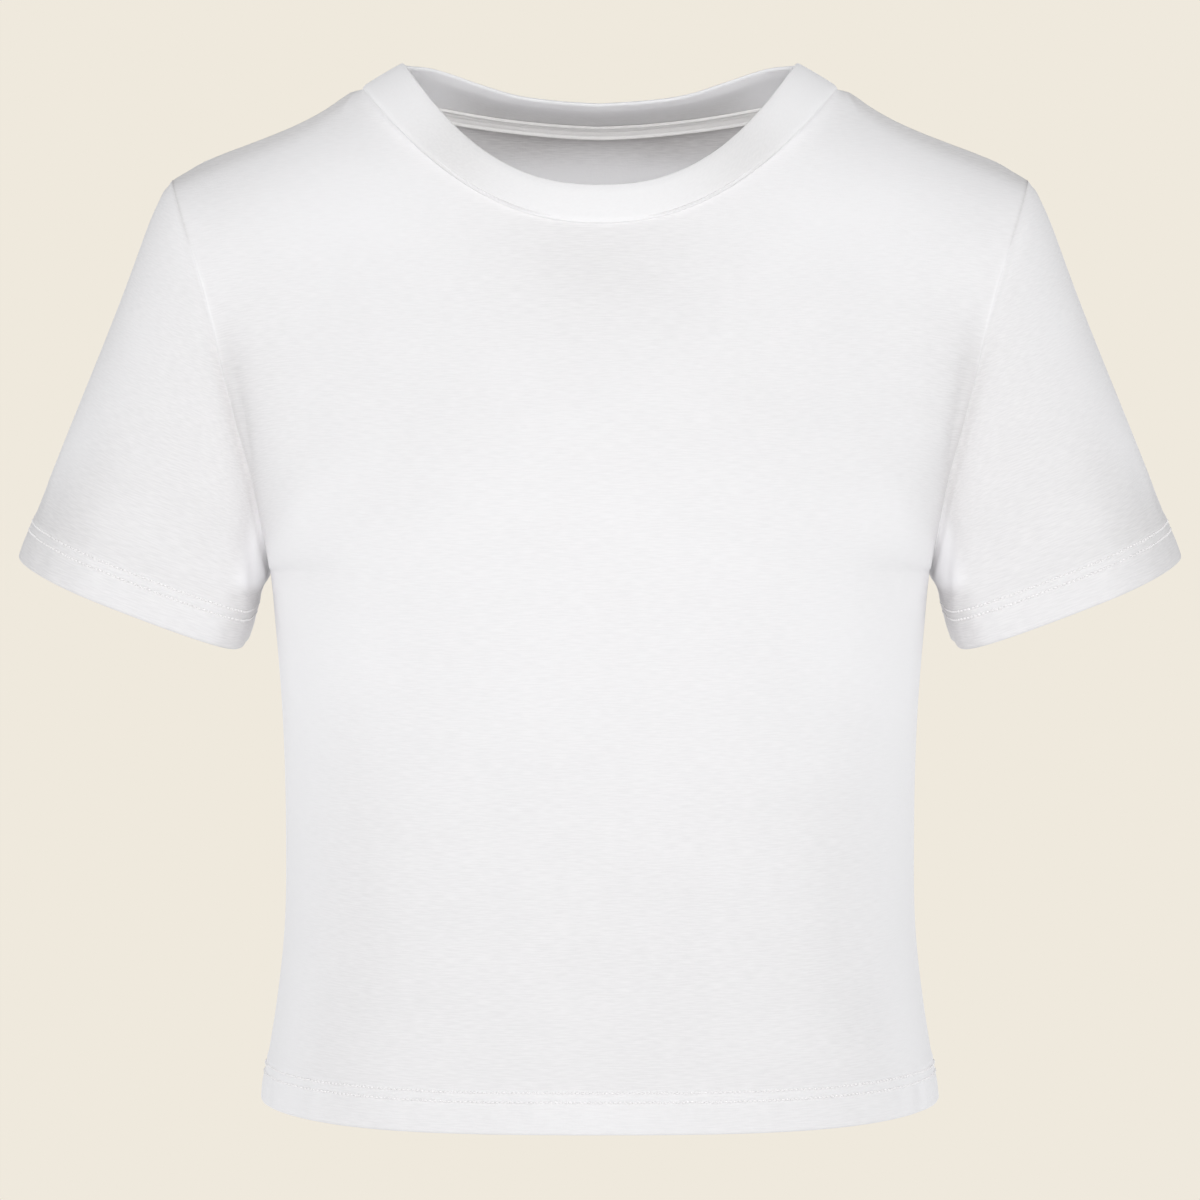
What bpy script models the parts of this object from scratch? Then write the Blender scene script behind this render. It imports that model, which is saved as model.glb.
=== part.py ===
"""A cropped cotton T-shirt in its worn, hollow form.

Metres, +Z up. +X is the wearer's left and -Y the front. The origin lies midway
between the neck points, where the shoulder seams meet the neckband, and a
millimetre below them, where the cloth rests on the shoulders.

Every panel is a thin wall between an outer and an inner grid of points. Panels
that are sewn together share their seam's points, each drawn back by half a gap.
"""
import math

import bmesh
import bpy
import numpy as np

# Driving dimensions.
BODY_LENGTH = 0.477  # neck point down to the hem
HEM_RISE = 0.0045  # the hem lifts this much at the side seams
HEM_DIP = 0.0011  # and hangs this much lower at the centre
HEM_SWEEP = 4  # power of that lift across the panel
HEM_RISE_FROM = 0.38  # drop below which the rings follow that lift
UNDERARM_DROP = 0.226
SHOULDER_DROP = 0.0425
SHOULDER_HALF = 0.201  # centre to the shoulder tip
SHOULDER_BACK = 0.004  # how far behind the centre the shoulder tip sits
CLOTH = 0.0012
HEM_CLOTH = 0.0022
HEM_DEPTH = 0.0195
HEM_FOLD = 0.0012  # height of the rounded fold at a hem's edge
HEM_FOLD_SHARE = 0.6  # of the hem's thickness, left at that edge
HEM_STEP = 0.0014  # run over which a hem steps down to single cloth
HEM_PROUD_SHARE = 0.4  # of a hem's extra thickness, shown outside
SEAM_GAP = 0.0003
BOW = 0.80  # 1 gives elliptical body sections, less gives fuller corners

# Neck seam, where the neckband is sewn to the panels, and the band's free edge.
NECK_CENTRE_Y = 0.008
SEAM_HALF = 0.112
SEAM_SIDE_RISE = 0.0012  # the neck points above the origin
SEAM_FRONT = 0.086  # ahead of the neck centre
SEAM_BACK = 0.064  # behind the neck centre
SEAM_FRONT_DROP = 0.0697
SEAM_BACK_DROP = 0.0095
SEAM_FRONT_SCOOP = 2.18  # powers of the seam's rise from the centre to the side
SEAM_BACK_SCOOP = 1.5
EDGE_HALF = 0.0926
EDGE_FRONT = 0.079
EDGE_BACK = 0.048
EDGE_SIDE_RISE = 0.0130
EDGE_FRONT_DROP = 0.0514
EDGE_FRONT_SCOOP = 2.38
BAND_CLOTH = 0.0024
BAND_PROUD = 0.0005
BAND_SWELL = 0.0003  # how much the band rounds out between seam and fold
BAND_FOLD = 0.0009  # width of the rounded fold at the free edge

# Back neck tape, which covers the seam inside.
TAPE_ABOVE = 0.0030
TAPE_BELOW = 0.0062
TAPE_CLOTH = 0.0010
TAPE_REST = 0.0005  # clear of the panel's twisting faces
TAPE_STEP = 0.0003  # eased over the thicker band
TAPE_OVER_SEAM = (0.0003, 0.0015)  # where it bridges the seam, above and below
TAPE_SHORT = 2  # columns between each end and the shoulder seam

# Sleeves.
CUFF_CENTRE = (0.2197, 0.0, -0.2400)
CUFF_SLOPE = math.radians(21.1)  # below level, from the outer to the inner corner
CUFF_ACROSS = 0.0568
CUFF_DEEP = 0.054
CUFF_DIP = 0.0054  # the cuff's front hangs this much lower
CUFF_BOW = (0.50, 1.05)  # as on the body, at the cuff's inner and outer end
ARM_FRONT = 0.055
ARM_BACK = 0.060
ARM_SWEEP = 1.44  # power of the armhole's slope from underarm to shoulder tip
ARM_FULL = 0.06  # how much fuller than an ellipse the armhole is at the underarm
SLEEVE_CROWN = 0.0030  # how far the sleeve head swells just past its seam
CROWN_AT = 0.11  # where it does so, as a share of the way to the hem
UNDER_TILT = 0.30  # the hem's lean at the underarm
UNDER_TO = 0.6  # climb above which the hem leans as the cuff does

# Cells of the grids.
NECK_CELLS = 10  # centre to neck point
SHOULDER_CELLS = 6  # neck point to shoulder tip
ARM_CELLS = 12  # underarm to shoulder tip
SLEEVE_CELLS = 8
SLEEVE_CROWDING = 1.3  # power that crowds the sleeve's rows towards the armhole
HEM_ROWS = (0.0, HEM_FOLD, 0.0100, HEM_DEPTH, HEM_DEPTH + HEM_STEP)  # above the edge
RING_DROPS = (0.440, 0.418, 0.392, 0.362, 0.332, 0.302, 0.274, 0.250, 0.236)

# Body sections, each a level ring:
# drop below neck point, half width, depth to the front, depth to the back.
SECTIONS = (
    (0.226, 0.1542, 0.1170, 0.0930),
    (0.250, 0.1518, 0.1170, 0.0915),
    (0.290, 0.1486, 0.1150, 0.0885),
    (0.345, 0.1469, 0.1120, 0.0865),
    (0.395, 0.1477, 0.1100, 0.0880),
    (0.430, 0.1515, 0.1095, 0.0920),
    (0.457, 0.1555, 0.1090, 0.0955),
    (0.477, 0.1582, 0.1080, 0.0970),
)

# The shoulder seam sags a little between neck point and shoulder tip:
# distance from the centre, drop.
SHOULDER_SEAM = (
    (0.1120, -0.0012),
    (0.1172, -0.0002),
    (0.1222, 0.0030),
    (0.1273, 0.0072),
    (0.1320, 0.0104),
    (0.1410, 0.0156),
    (0.1560, 0.0213),
    (0.1790, 0.0299),
    (0.1880, 0.0338),
    (0.1950, 0.0381),
    (0.2010, 0.0425),
)

# The back of the band's free edge: share of the way from centre to side, rise.
BACK_EDGE = (
    (0.00, 0.0000),
    (0.22, 0.0012),
    (0.47, 0.0042),
    (0.63, 0.0083),
    (0.80, 0.0128),
    (0.87, 0.0140),
    (0.94, 0.0139),
    (1.00, 0.0130),
)

# How the panel's columns lean as they reach the top edge:
# share of the way from centre to shoulder tip, degrees from upright.
FRONT_LEAN = ((0.0, 20.0), (0.3, 30.0), (0.6, 62.0), (0.8, 80.0), (1.0, 88.0))
BACK_LEAN = ((0.0, 48.0), (0.3, 52.0), (0.6, 68.0), (0.8, 80.0), (1.0, 88.0))

LEAN_PULL = 0.50  # how far that lean reaches down the column

# Round the neck point the cloth pulls smooth between its two seams: how far to each
# side along the columns, the climb over which that begins, and the passes it takes.
SMOOTH_SIDE = 0.30
SMOOTH_CLIMB = (0.0, 0.70)
SMOOTH_PASSES = 5

ARM_PULL_FROM = 0.30  # share of the way to the side where the armhole starts to pull

FOLD_ONSET = 0.12  # share of a fold's swell that it starts with
FOLD_SIDE_FADE = 0.12  # share of the half width over which folds die at the sides
FOLD_TOP_FADE = 3  # rows over which they die at the top

# Soft folds of a panel, seen from in front or behind and alike on both sides:
# start x, start drop, end x, end drop, half width, depth (in is negative).
FRONT_FOLDS = (
    (0.154, 0.216, 0.141, 0.186, 0.009, -0.0012),
    (0.134, 0.470, 0.128, 0.400, 0.012, -0.0012),
    (0.000, 0.110, 0.000, 0.165, 0.030, -0.0012),
)
BACK_FOLDS = (
    (0.156, 0.210, 0.122, 0.140, 0.012, -0.0032),
    (0.138, 0.212, 0.100, 0.168, 0.014, 0.0015),
    (0.070, 0.475, 0.060, 0.330, 0.016, -0.0016),
    (0.112, 0.475, 0.116, 0.390, 0.014, 0.0012),
)

WHITE = (0.86, 0.86, 0.87)
COTTON_ROUGHNESS = 0.9
SMOOTH_ANGLE = math.radians(40)


def unit(vector):
    """The vector, or each vector of an array, at length one."""
    vector = np.asarray(vector, float)
    return vector / np.linalg.norm(vector, axis=-1, keepdims=True)


def ease(start, end, value):
    """Rises smoothly from 0 at start to 1 at end."""
    share = min(max((value - start) / (end - start), 0.0), 1.0)
    return share * share * (3 - 2 * share)


def read_table(table, column, place):
    """A smooth curve through one column of a table, read at a place in its first."""
    places = [row[0] for row in table]
    values = [row[column] for row in table]
    slopes = np.gradient(values, places)
    place = min(max(place, places[0]), places[-1])
    i = min(np.searchsorted(places, place, side="right"), len(places) - 1) - 1
    step = places[i + 1] - places[i]
    t = (place - places[i]) / step
    return hermite(values[i], slopes[i] * step, values[i + 1], slopes[i + 1] * step, t)


def hermite(start, leave, end, arrive, t):
    """The point at t on the cubic from start to end with those end tangents."""
    return (
        (2 * t**3 - 3 * t**2 + 1) * start
        + (t**3 - 2 * t**2 + t) * leave
        + (3 * t**2 - 2 * t**3) * end
        + (t**3 - t**2) * arrive
    )


def signed_power(value, power):
    return math.copysign(abs(value) ** power, value)


# Neck. turn is the angle round the neck from the wearer's left, positive to the back.


def neck_seam(turn):
    """A point of the seam between the neckband and the panels."""
    x = SEAM_HALF * math.cos(turn)
    across = abs(x) / SEAM_HALF
    if turn <= 0:
        y = NECK_CENTRE_Y + SEAM_FRONT * math.sin(turn)
        rise = SEAM_SIDE_RISE + SEAM_FRONT_DROP
        z = rise * across**SEAM_FRONT_SCOOP - SEAM_FRONT_DROP
    else:
        y = NECK_CENTRE_Y + SEAM_BACK * math.sin(turn)
        rise = SEAM_SIDE_RISE + SEAM_BACK_DROP
        z = rise * across**SEAM_BACK_SCOOP - SEAM_BACK_DROP
    return np.array((x, y, z))


def neck_edge(turn):
    """A point of the neckband's folded free edge."""
    x = EDGE_HALF * math.cos(turn)
    across = abs(x) / EDGE_HALF
    if turn <= 0:
        y = NECK_CENTRE_Y + EDGE_FRONT * math.sin(turn)
        rise = EDGE_SIDE_RISE + EDGE_FRONT_DROP
        z = rise * across**EDGE_FRONT_SCOOP - EDGE_FRONT_DROP
    else:
        y = NECK_CENTRE_Y + EDGE_BACK * math.sin(turn)
        z = read_table(BACK_EDGE, 1, across)
    return np.array((x, y, z))


def neck_frame(turn):
    """Across the band from seam to edge, and square out of its face, at a turn."""
    lift = unit(neck_edge(turn) - neck_seam(turn))
    small = 0.01
    along = neck_seam(turn + small) - neck_seam(turn - small)
    out = unit(np.cross(along, lift))
    return lift, out


# Armholes. climb runs from 0 at the underarm to 1 at the shoulder tip.


def armhole(climb, face, side):
    """A point of an armhole seam; face is -1 in front and 1 behind."""
    angle = math.pi * (1 - climb)
    middle = (UNDERARM_DROP + SHOULDER_DROP) / 2
    half = (UNDERARM_DROP - SHOULDER_DROP) / 2
    drop = middle - half * math.cos(angle)
    deep = ARM_FRONT if face < 0 else ARM_BACK
    power = 1 - ARM_FULL * (1 - math.cos(angle))
    y = face * deep * math.sin(angle) ** power + SHOULDER_BACK * climb
    rise = (UNDERARM_DROP - drop) / (UNDERARM_DROP - SHOULDER_DROP)
    under = SECTIONS[0][1]
    x = under + (SHOULDER_HALF - under) * rise**ARM_SWEEP
    return np.array((side * x, y, -drop))


def armhole_out(climb, face, side):
    """The direction in which both walls thicken at an armhole seam, outwards."""
    point = armhole(climb, face, side)
    middle = -(UNDERARM_DROP + SHOULDER_DROP) / 2
    return unit((0.0, point[1] - SHOULDER_BACK * climb, point[2] - middle))


def armhole_axis(side):
    """Square to the plane of an armhole, towards the sleeve."""
    tip = armhole(1.0, -1, side)
    under = armhole(0.0, -1, side)
    chord = tip - under
    return unit((side * chord[2], 0.0, -side * chord[0]))


# Panels. across runs from -1 to 1 between the sides.


def level_ring(across, drop, face):
    """A point of a level body section."""
    angle = across * math.pi / 2
    half = read_table(SECTIONS, 1, drop)
    deep = read_table(SECTIONS, 2 if face < 0 else 3, drop)
    x = half * signed_power(math.sin(angle), BOW)
    y = face * deep * max(math.cos(angle), 0.0) ** BOW
    low = max((drop - HEM_RISE_FROM) / (BODY_LENGTH - HEM_RISE_FROM), 0.0) ** 2
    rise = HEM_RISE * math.sin(angle) ** HEM_SWEEP - HEM_DIP * math.cos(angle) ** 2
    return np.array((x, y, rise * low - drop))


def neck_share():
    """The share of the top edge's columns that end at the neck seam."""
    return NECK_CELLS / (NECK_CELLS + SHOULDER_CELLS)


def neck_turn(across, face):
    """The angle round the neck at which a column ends."""
    swing = (1 - across / neck_share()) * math.pi / 2
    return face * swing


def top_edge(across, face):
    """A point of a panel's top edge: neck seam, then shoulder seam."""
    if abs(across) <= neck_share() + 1e-9:
        return neck_seam(neck_turn(across, face))
    share = (abs(across) - neck_share()) / (1 - neck_share())
    x = SEAM_HALF + (SHOULDER_HALF - SEAM_HALF) * share
    y = NECK_CENTRE_Y + (SHOULDER_BACK - NECK_CENTRE_Y) * share
    return np.array((math.copysign(x, across), y, -read_table(SHOULDER_SEAM, 1, x)))


def column(across, climb, face):
    """A point of a panel above underarm height, before the armhole shapes it."""
    start = level_ring(across, UNDERARM_DROP, face)
    below = level_ring(across, UNDERARM_DROP + 0.01, face)
    end = top_edge(across, face)
    reach = np.linalg.norm(end - start)
    lean = math.radians(read_table(FRONT_LEAN if face < 0 else BACK_LEAN, 1, abs(across)))
    leave = unit(start - below) * reach
    arrive = np.array((0.0, -face * math.sin(lean), math.cos(lean))) * reach * LEAN_PULL
    return hermite(start, leave, end, arrive, climb)


def upper_panel(across, climb, face):
    """A point of a panel above underarm height."""
    point = column(across, climb, face)
    side = math.copysign(1.0, across)
    pull = ease(ARM_PULL_FROM, 1.0, abs(across))
    return point + pull * (armhole(climb, face, side) - column(side, climb, face))


def pulled_smooth(points, places, climbs):
    """The upper rows with the cloth round the neck points drawn smooth, seams held."""
    away = (np.abs(places) - neck_share()) / SMOOTH_SIDE
    begun = np.array([ease(*SMOOTH_CLIMB, climb) for climb in climbs])
    weight = (begun[:, None] * np.exp(-(away**2)))[1:-1, 1:-1, None]
    for _ in range(SMOOTH_PASSES):
        beside = points[1:-1, :-2] + points[1:-1, 2:]
        above = points[:-2, 1:-1] + points[2:, 1:-1]
        points[1:-1, 1:-1] += weight * ((beside + above) / 4 - points[1:-1, 1:-1])
    return points


def fold_depth(point, folds):
    """How far the folds move a point of a panel out of its face."""
    depth = 0.0
    here = np.array((abs(point[0]), -point[2]))
    for x0, drop0, x1, drop1, half, deep in folds:
        start = np.array((x0, drop0))
        run = np.array((x1, drop1)) - start
        share = float(np.clip((here - start) @ run / (run @ run), 0, 1))
        away = np.linalg.norm(here - start - share * run) / half
        taper = math.sin(math.pi * (FOLD_ONSET + (1 - FOLD_ONSET) * share))
        depth += deep * max(taper, 0.0) * math.exp(-(away**2))
    return depth


def panel_rows():
    """Drops of the level rows from the hem up, then climbs of the rows above."""
    drops = [BODY_LENGTH - height for height in HEM_ROWS] + list(RING_DROPS)
    climbs = [i / ARM_CELLS for i in range(ARM_CELLS + 1)]
    return drops, climbs


def grid_out(points, face):
    """Directions square to a panel's grid, outwards."""
    up = np.gradient(points, axis=0)
    along = np.gradient(points, axis=1)
    return unit(np.cross(along, up)) * -face


def panel_grid(face):
    """Outer points of a panel and the directions in which it is thickened."""
    drops, climbs = panel_rows()
    cells = NECK_CELLS + SHOULDER_CELLS
    places = [i / cells for i in range(-cells, cells + 1)]
    level = [[level_ring(a, drop, face) for a in places] for drop in drops]
    upper = np.array([[upper_panel(a, climb, face) for a in places] for climb in climbs])
    points = np.concatenate((level, pulled_smooth(upper, np.array(places), climbs)))
    out = grid_out(points, face)
    edges = {0: -1, -1: 1}
    for end, side in edges.items():
        out[: len(drops), end] = (side, 0, 0)
        for i, climb in enumerate(climbs):
            out[len(drops) + i, end] = armhole_out(climb, face, side)
    for j, a in enumerate(places[1:-1], start=1):
        if abs(a) <= neck_share() + 1e-9:
            out[-1, j] = neck_frame(neck_turn(a, face))[1]
        else:
            seam = top_edge(a + 0.01, face) - top_edge(a - 0.01, face)
            out[-1, j] = unit((-seam[2], 0, seam[0]))
    folds = FRONT_FOLDS if face < 0 else BACK_FOLDS
    for i in range(len(points) - 1):
        for j in range(1, len(places) - 1):
            inside = ease(0, FOLD_SIDE_FADE, 1 - abs(places[j]))
            inside *= ease(0, FOLD_TOP_FADE, len(points) - 1 - i)
            points[i, j] += out[i, j] * fold_depth(points[i, j], folds) * inside
    return points, out, places, len(drops)


def draw_back(points, places, level_rows, face):
    """Takes half of each seam's gap off a panel's sewn edges."""
    half_gap = SEAM_GAP / 2
    for end, side in {0: -1, -1: 1}.items():
        points[:level_rows, end, 1] += face * half_gap
        points[level_rows:, end] -= armhole_axis(side) * half_gap
        points[level_rows, end, 1] += face * half_gap
    for j, a in enumerate(places):
        if abs(a) <= neck_share() + 1e-9:
            points[-1, j] -= neck_frame(neck_turn(a, face))[0] * half_gap
        if abs(a) >= neck_share() - 1e-9:
            points[-1, j, 1] += face * half_gap
    return points


def wall_faces(points, out, hem_first):
    """Outer and inner points of a wall whose turned hem is double cloth."""
    thick = np.full(len(points), CLOTH)
    thick[: len(HEM_ROWS) - 1] = HEM_CLOTH
    thick[0] = HEM_CLOTH * HEM_FOLD_SHARE
    if not hem_first:
        thick = thick[::-1]
    thick = thick[:, None, None]
    proud = np.maximum(thick - CLOTH, 0) * HEM_PROUD_SHARE
    return points + out * proud, points + out * (proud - thick)


def add_cloth(name, outer, inner, round_rows=False):
    """A closed wall between two grids of points, made into a cloth object."""
    row_count, column_count = outer.shape[:2]
    bm = bmesh.new()
    skins = [[[bm.verts.new(p) for p in row] for row in grid] for grid in (outer, inner)]
    steps = column_count if round_rows else column_count - 1
    for skin in skins:
        for i in range(row_count - 1):
            for j in range(steps):
                k = (j + 1) % column_count
                bm.faces.new((skin[i][j], skin[i][k], skin[i + 1][k], skin[i + 1][j]))
    front, back = skins
    for i in (0, row_count - 1):
        for j in range(steps):
            k = (j + 1) % column_count
            bm.faces.new((front[i][j], front[i][k], back[i][k], back[i][j]))
    if not round_rows:
        for j in (0, column_count - 1):
            for i in range(row_count - 1):
                bm.faces.new((front[i][j], front[i + 1][j], back[i + 1][j], back[i][j]))
    bmesh.ops.recalc_face_normals(bm, faces=bm.faces)
    mesh = bpy.data.meshes.new(name)
    bm.to_mesh(mesh)
    bm.free()
    mesh.shade_smooth()
    mesh.set_sharp_from_angle(angle=SMOOTH_ANGLE)
    mesh.materials.append(cotton(name))
    obj = bpy.data.objects.new(name, mesh)
    bpy.context.collection.objects.link(obj)
    return obj


def cotton(name):
    """White combed cotton jersey."""
    material = bpy.data.materials.new(name + "_cotton")
    material.use_nodes = True
    shader = material.node_tree.nodes["Principled BSDF"]
    shader.inputs["Base Color"].default_value = (*WHITE, 1)
    shader.inputs["Roughness"].default_value = COTTON_ROUGHNESS
    shader.inputs["Metallic"].default_value = 0.0
    return material


def make_panel(name, face):
    """The front or the back of the body, with its turned hem."""
    points, out, places, level_rows = panel_grid(face)
    points = draw_back(points, places, level_rows, face)
    outside, inside = wall_faces(points, out, hem_first=True)
    add_cloth(name, outside, inside)
    return inside


def sleeve_grid(side):
    """Outer points of a sleeve, from the armhole seam to the cuff."""
    stations = [(i / ARM_CELLS, -1) for i in range(ARM_CELLS, 0, -1)]
    stations += [(i / ARM_CELLS, 1) for i in range(ARM_CELLS)]
    axis = armhole_axis(side)
    outer_way = np.array((side * math.cos(CUFF_SLOPE), 0, math.sin(CUFF_SLOPE)))
    centre = np.array(CUFF_CENTRE) * (side, 1, 1)
    runs = []
    first_out = []
    for climb, face in stations:
        angle = math.pi * (1 - climb)
        seam = armhole(climb, face, side)
        bow = CUFF_BOW[0] + (CUFF_BOW[1] - CUFF_BOW[0]) * (1 + math.cos(angle)) / 2
        wide = signed_power(math.cos(angle), bow)
        deep = signed_power(max(math.sin(angle), 0.0), bow)
        cuff = centre + outer_way * CUFF_ACROSS * wide
        cuff = cuff + np.array((0, face * CUFF_DEEP, face * CUFF_DIP)) * deep
        turned = ease(0, UNDER_TO, climb)
        tilt = UNDER_TILT + (math.tan(CUFF_SLOPE) - UNDER_TILT) * turned
        down = unit((side * tilt, 0, -1))
        hem_top = cuff - down * HEM_DEPTH
        shares = [(i / SLEEVE_CELLS) ** SLEEVE_CROWDING for i in range(SLEEVE_CELLS)]
        leave = hem_top - seam
        arrive = down * np.linalg.norm(leave)
        run = [hermite(seam, leave, hem_top, arrive, t) for t in shares]
        swell = SLEEVE_CROWN * math.sin(climb * math.pi / 2)
        for i, t in enumerate(shares):
            run[i] = run[i] + axis * swell * t / CROWN_AT * math.exp(1 - t / CROWN_AT)
        run[0] = seam + axis * SEAM_GAP / 2
        run += [cuff - down * height for height in reversed(HEM_ROWS)]
        runs.append(run)
        first_out.append(armhole_out(climb, face, side))
    points = np.array(runs).transpose(1, 0, 2)
    return points, np.array(first_out)


def make_sleeve(name, side):
    """A set-in sleeve, a tube from its armhole to a turned cuff hem."""
    points, first_out = sleeve_grid(side)
    along = np.roll(points, -1, axis=1) - np.roll(points, 1, axis=1)
    out = unit(np.cross(along, np.gradient(points, axis=0)))
    middle = points.mean(axis=1, keepdims=True)
    out *= np.sign(((points - middle) * out).sum())
    out[0] = first_out
    outside, inside = wall_faces(points, out, hem_first=False)
    add_cloth(name, outside, inside, round_rows=True)


def neck_turns(face):
    """The angles at which a panel's columns meet the neck seam, left to right."""
    cells = NECK_CELLS + SHOULDER_CELLS
    return [neck_turn(i / cells, face) for i in range(-NECK_CELLS, NECK_CELLS + 1)]


def make_neckband():
    """A doubled strip, folded at its free edge and sewn all round the neck seam."""
    front = neck_turns(-1)
    back = neck_turns(1)[::-1]
    turns = front + back[1:-1]
    faces = []
    for turn in turns:
        lift, out = neck_frame(turn)
        seam = neck_seam(turn)
        width = np.linalg.norm(neck_edge(turn) - seam)
        inner = BAND_PROUD - BAND_CLOTH
        eased = BAND_SWELL / 2
        profile = (
            (SEAM_GAP / 2, BAND_PROUD),
            (width / 3, BAND_PROUD + BAND_SWELL),
            (width * 2 / 3, BAND_PROUD + BAND_SWELL),
            (width - BAND_FOLD, BAND_PROUD - eased),
            (width, (BAND_PROUD + inner) / 2),
            (width - BAND_FOLD, inner + eased),
            (width / 2, inner),
            (SEAM_GAP / 2, inner),
        )
        faces.append([seam + lift * a + out * b for a, b in profile])
    points = np.array(faces)
    half = len(points[0]) // 2
    outer = points[:, :half].transpose(1, 0, 2)
    inner = points[:, : half - 1 : -1].transpose(1, 0, 2)
    add_cloth("neckband", outer, inner, round_rows=True)


def make_neck_tape(panel_inside):
    """A narrow strip over the back neck seam, inside, between the shoulder seams."""
    middle = NECK_CELLS + SHOULDER_CELLS
    reach = NECK_CELLS - TAPE_SHORT
    top, below = panel_inside[-1], panel_inside[-2]
    on_band = BAND_PROUD - BAND_CLOTH - SEAM_GAP
    over, under = TAPE_OVER_SEAM
    outer = []
    inner = []
    for i in range(-reach, reach + 1):
        turn = neck_turn(i / middle, 1)
        lift, out = neck_frame(turn)
        line = [neck_seam(turn) + lift * up + out * on_band for up in (TAPE_ABOVE, over)]
        down = unit(below[middle + i] - top[middle + i])
        square = unit(np.cross(top[middle + i + 1] - top[middle + i - 1], down))
        for run in (under, TAPE_BELOW / 2, TAPE_BELOW):
            eased = TAPE_STEP * (1 - run / TAPE_BELOW)
            line.append(top[middle + i] + down * run - square * (TAPE_REST + eased))
        outs = np.array([out, out, square, square, square])
        outer.append(line)
        inner.append(np.array(line) - outs * TAPE_CLOTH)
    outer = np.array(outer).transpose(1, 0, 2)
    inner = np.array(inner).transpose(1, 0, 2)
    add_cloth("neck_tape", outer, inner)


for old in list(bpy.data.objects):
    bpy.data.objects.remove(old, do_unlink=True)

make_panel("front_panel", -1)
back_inside = make_panel("back_panel", 1)
make_sleeve("sleeve_left", 1)
make_sleeve("sleeve_right", -1)
make_neckband()
make_neck_tape(back_inside)
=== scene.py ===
import math

import bpy
import numpy as np
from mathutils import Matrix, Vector


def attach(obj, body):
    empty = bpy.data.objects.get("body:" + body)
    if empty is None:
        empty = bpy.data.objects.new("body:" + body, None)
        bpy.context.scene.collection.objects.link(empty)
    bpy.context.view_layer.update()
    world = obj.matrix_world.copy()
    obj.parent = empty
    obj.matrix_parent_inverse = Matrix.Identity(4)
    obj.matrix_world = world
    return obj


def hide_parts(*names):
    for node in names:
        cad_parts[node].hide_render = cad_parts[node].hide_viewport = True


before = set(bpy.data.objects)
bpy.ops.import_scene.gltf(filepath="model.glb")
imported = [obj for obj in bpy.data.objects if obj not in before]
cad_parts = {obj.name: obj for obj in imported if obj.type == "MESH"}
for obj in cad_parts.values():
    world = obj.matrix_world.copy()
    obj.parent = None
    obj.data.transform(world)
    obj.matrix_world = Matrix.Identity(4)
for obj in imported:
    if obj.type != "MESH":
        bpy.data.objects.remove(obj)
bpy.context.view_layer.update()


# ---------------------------------------------------------------------------
# Front panel. The front of the body, one piece of white cotton jersey that is
# shaped only by the body it hangs on. Its lower edge is turned up once inside
# and held by a twin needle; the sides, shoulders and neck end in sewn seams.

BODY_LENGTH = 0.477  # neck point down to the hem
HEM_RISE = 0.0045  # the hem lifts this much at the side seams
HEM_DIP = 0.0011  # and hangs this much lower at the centre
HEM_SWEEP = 4  # power of that lift across the panel
HEM_RISE_FROM = 0.38  # drop below which the rings follow that lift
UNDERARM_DROP = 0.226
SHOULDER_DROP = 0.0425
SHOULDER_HALF = 0.201  # centre to the shoulder tip
SHOULDER_BACK = 0.004
NECK_POINT_Y = 0.008
BOW = 0.80  # 1 gives elliptical body sections, less gives fuller corners
NECK_SHARE = 0.625  # of the columns, which end at the neck seam
ARM_PULL_FROM = 0.30  # share of the way to the side where the armhole starts to pull
CLOTH = 0.0012
HEM_CLOTH = 0.0022
HEM_PROUD = 0.0004  # how much of a hem's second layer shows outside

# Level sections of the body:
# drop below neck point, half width, depth to the front, depth to the back.
SECTIONS = (
    (0.226, 0.1542, 0.1170, 0.0930),
    (0.250, 0.1518, 0.1170, 0.0915),
    (0.290, 0.1486, 0.1150, 0.0885),
    (0.345, 0.1469, 0.1120, 0.0865),
    (0.395, 0.1477, 0.1100, 0.0880),
    (0.430, 0.1515, 0.1095, 0.0920),
    (0.457, 0.1555, 0.1090, 0.0955),
    (0.477, 0.1582, 0.1080, 0.0970),
)

# Shoulder seam: distance from the centre, drop.
SHOULDER_SEAM = (
    (0.1120, -0.0012),
    (0.1172, -0.0002),
    (0.1222, 0.0030),
    (0.1273, 0.0072),
    (0.1320, 0.0104),
    (0.1410, 0.0156),
    (0.1560, 0.0213),
    (0.1790, 0.0299),
    (0.1880, 0.0338),
    (0.1950, 0.0381),
    (0.2010, 0.0425),
)

LEAN_PULL = 0.50  # less makes the cloth turn back more tightly at the top
# How the columns lean as they reach the top edge:
# share of the way from centre to shoulder tip, degrees from upright.
FRONT_LEAN = ((0.0, 20.0), (0.3, 30.0), (0.6, 62.0), (0.8, 80.0), (1.0, 88.0))

# Round the neck point the cloth pulls smooth between its two seams: how far to each
# side along the columns, the climb over which that begins, and the passes it takes.
SMOOTH_SIDE = 0.30
SMOOTH_CLIMB = (0.0, 0.70)
SMOOTH_PASSES = 260

# Neck seam, round the neck from the wearer's left, positive turns to the back.
SEAM_HALF = 0.112
SEAM_SIDE_RISE = 0.0012
SEAM_FRONT = 0.086
SEAM_BACK = 0.064
SEAM_FRONT_DROP = 0.0697
SEAM_BACK_DROP = 0.0095
SEAM_FRONT_SCOOP = 2.18
SEAM_BACK_SCOOP = 1.5

# Armhole seam.
ARM_FRONT = 0.055
ARM_BACK = 0.060
ARM_SWEEP = 1.44
ARM_FULL = 0.06  # how much fuller than an ellipse the armhole is at the underarm

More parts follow.
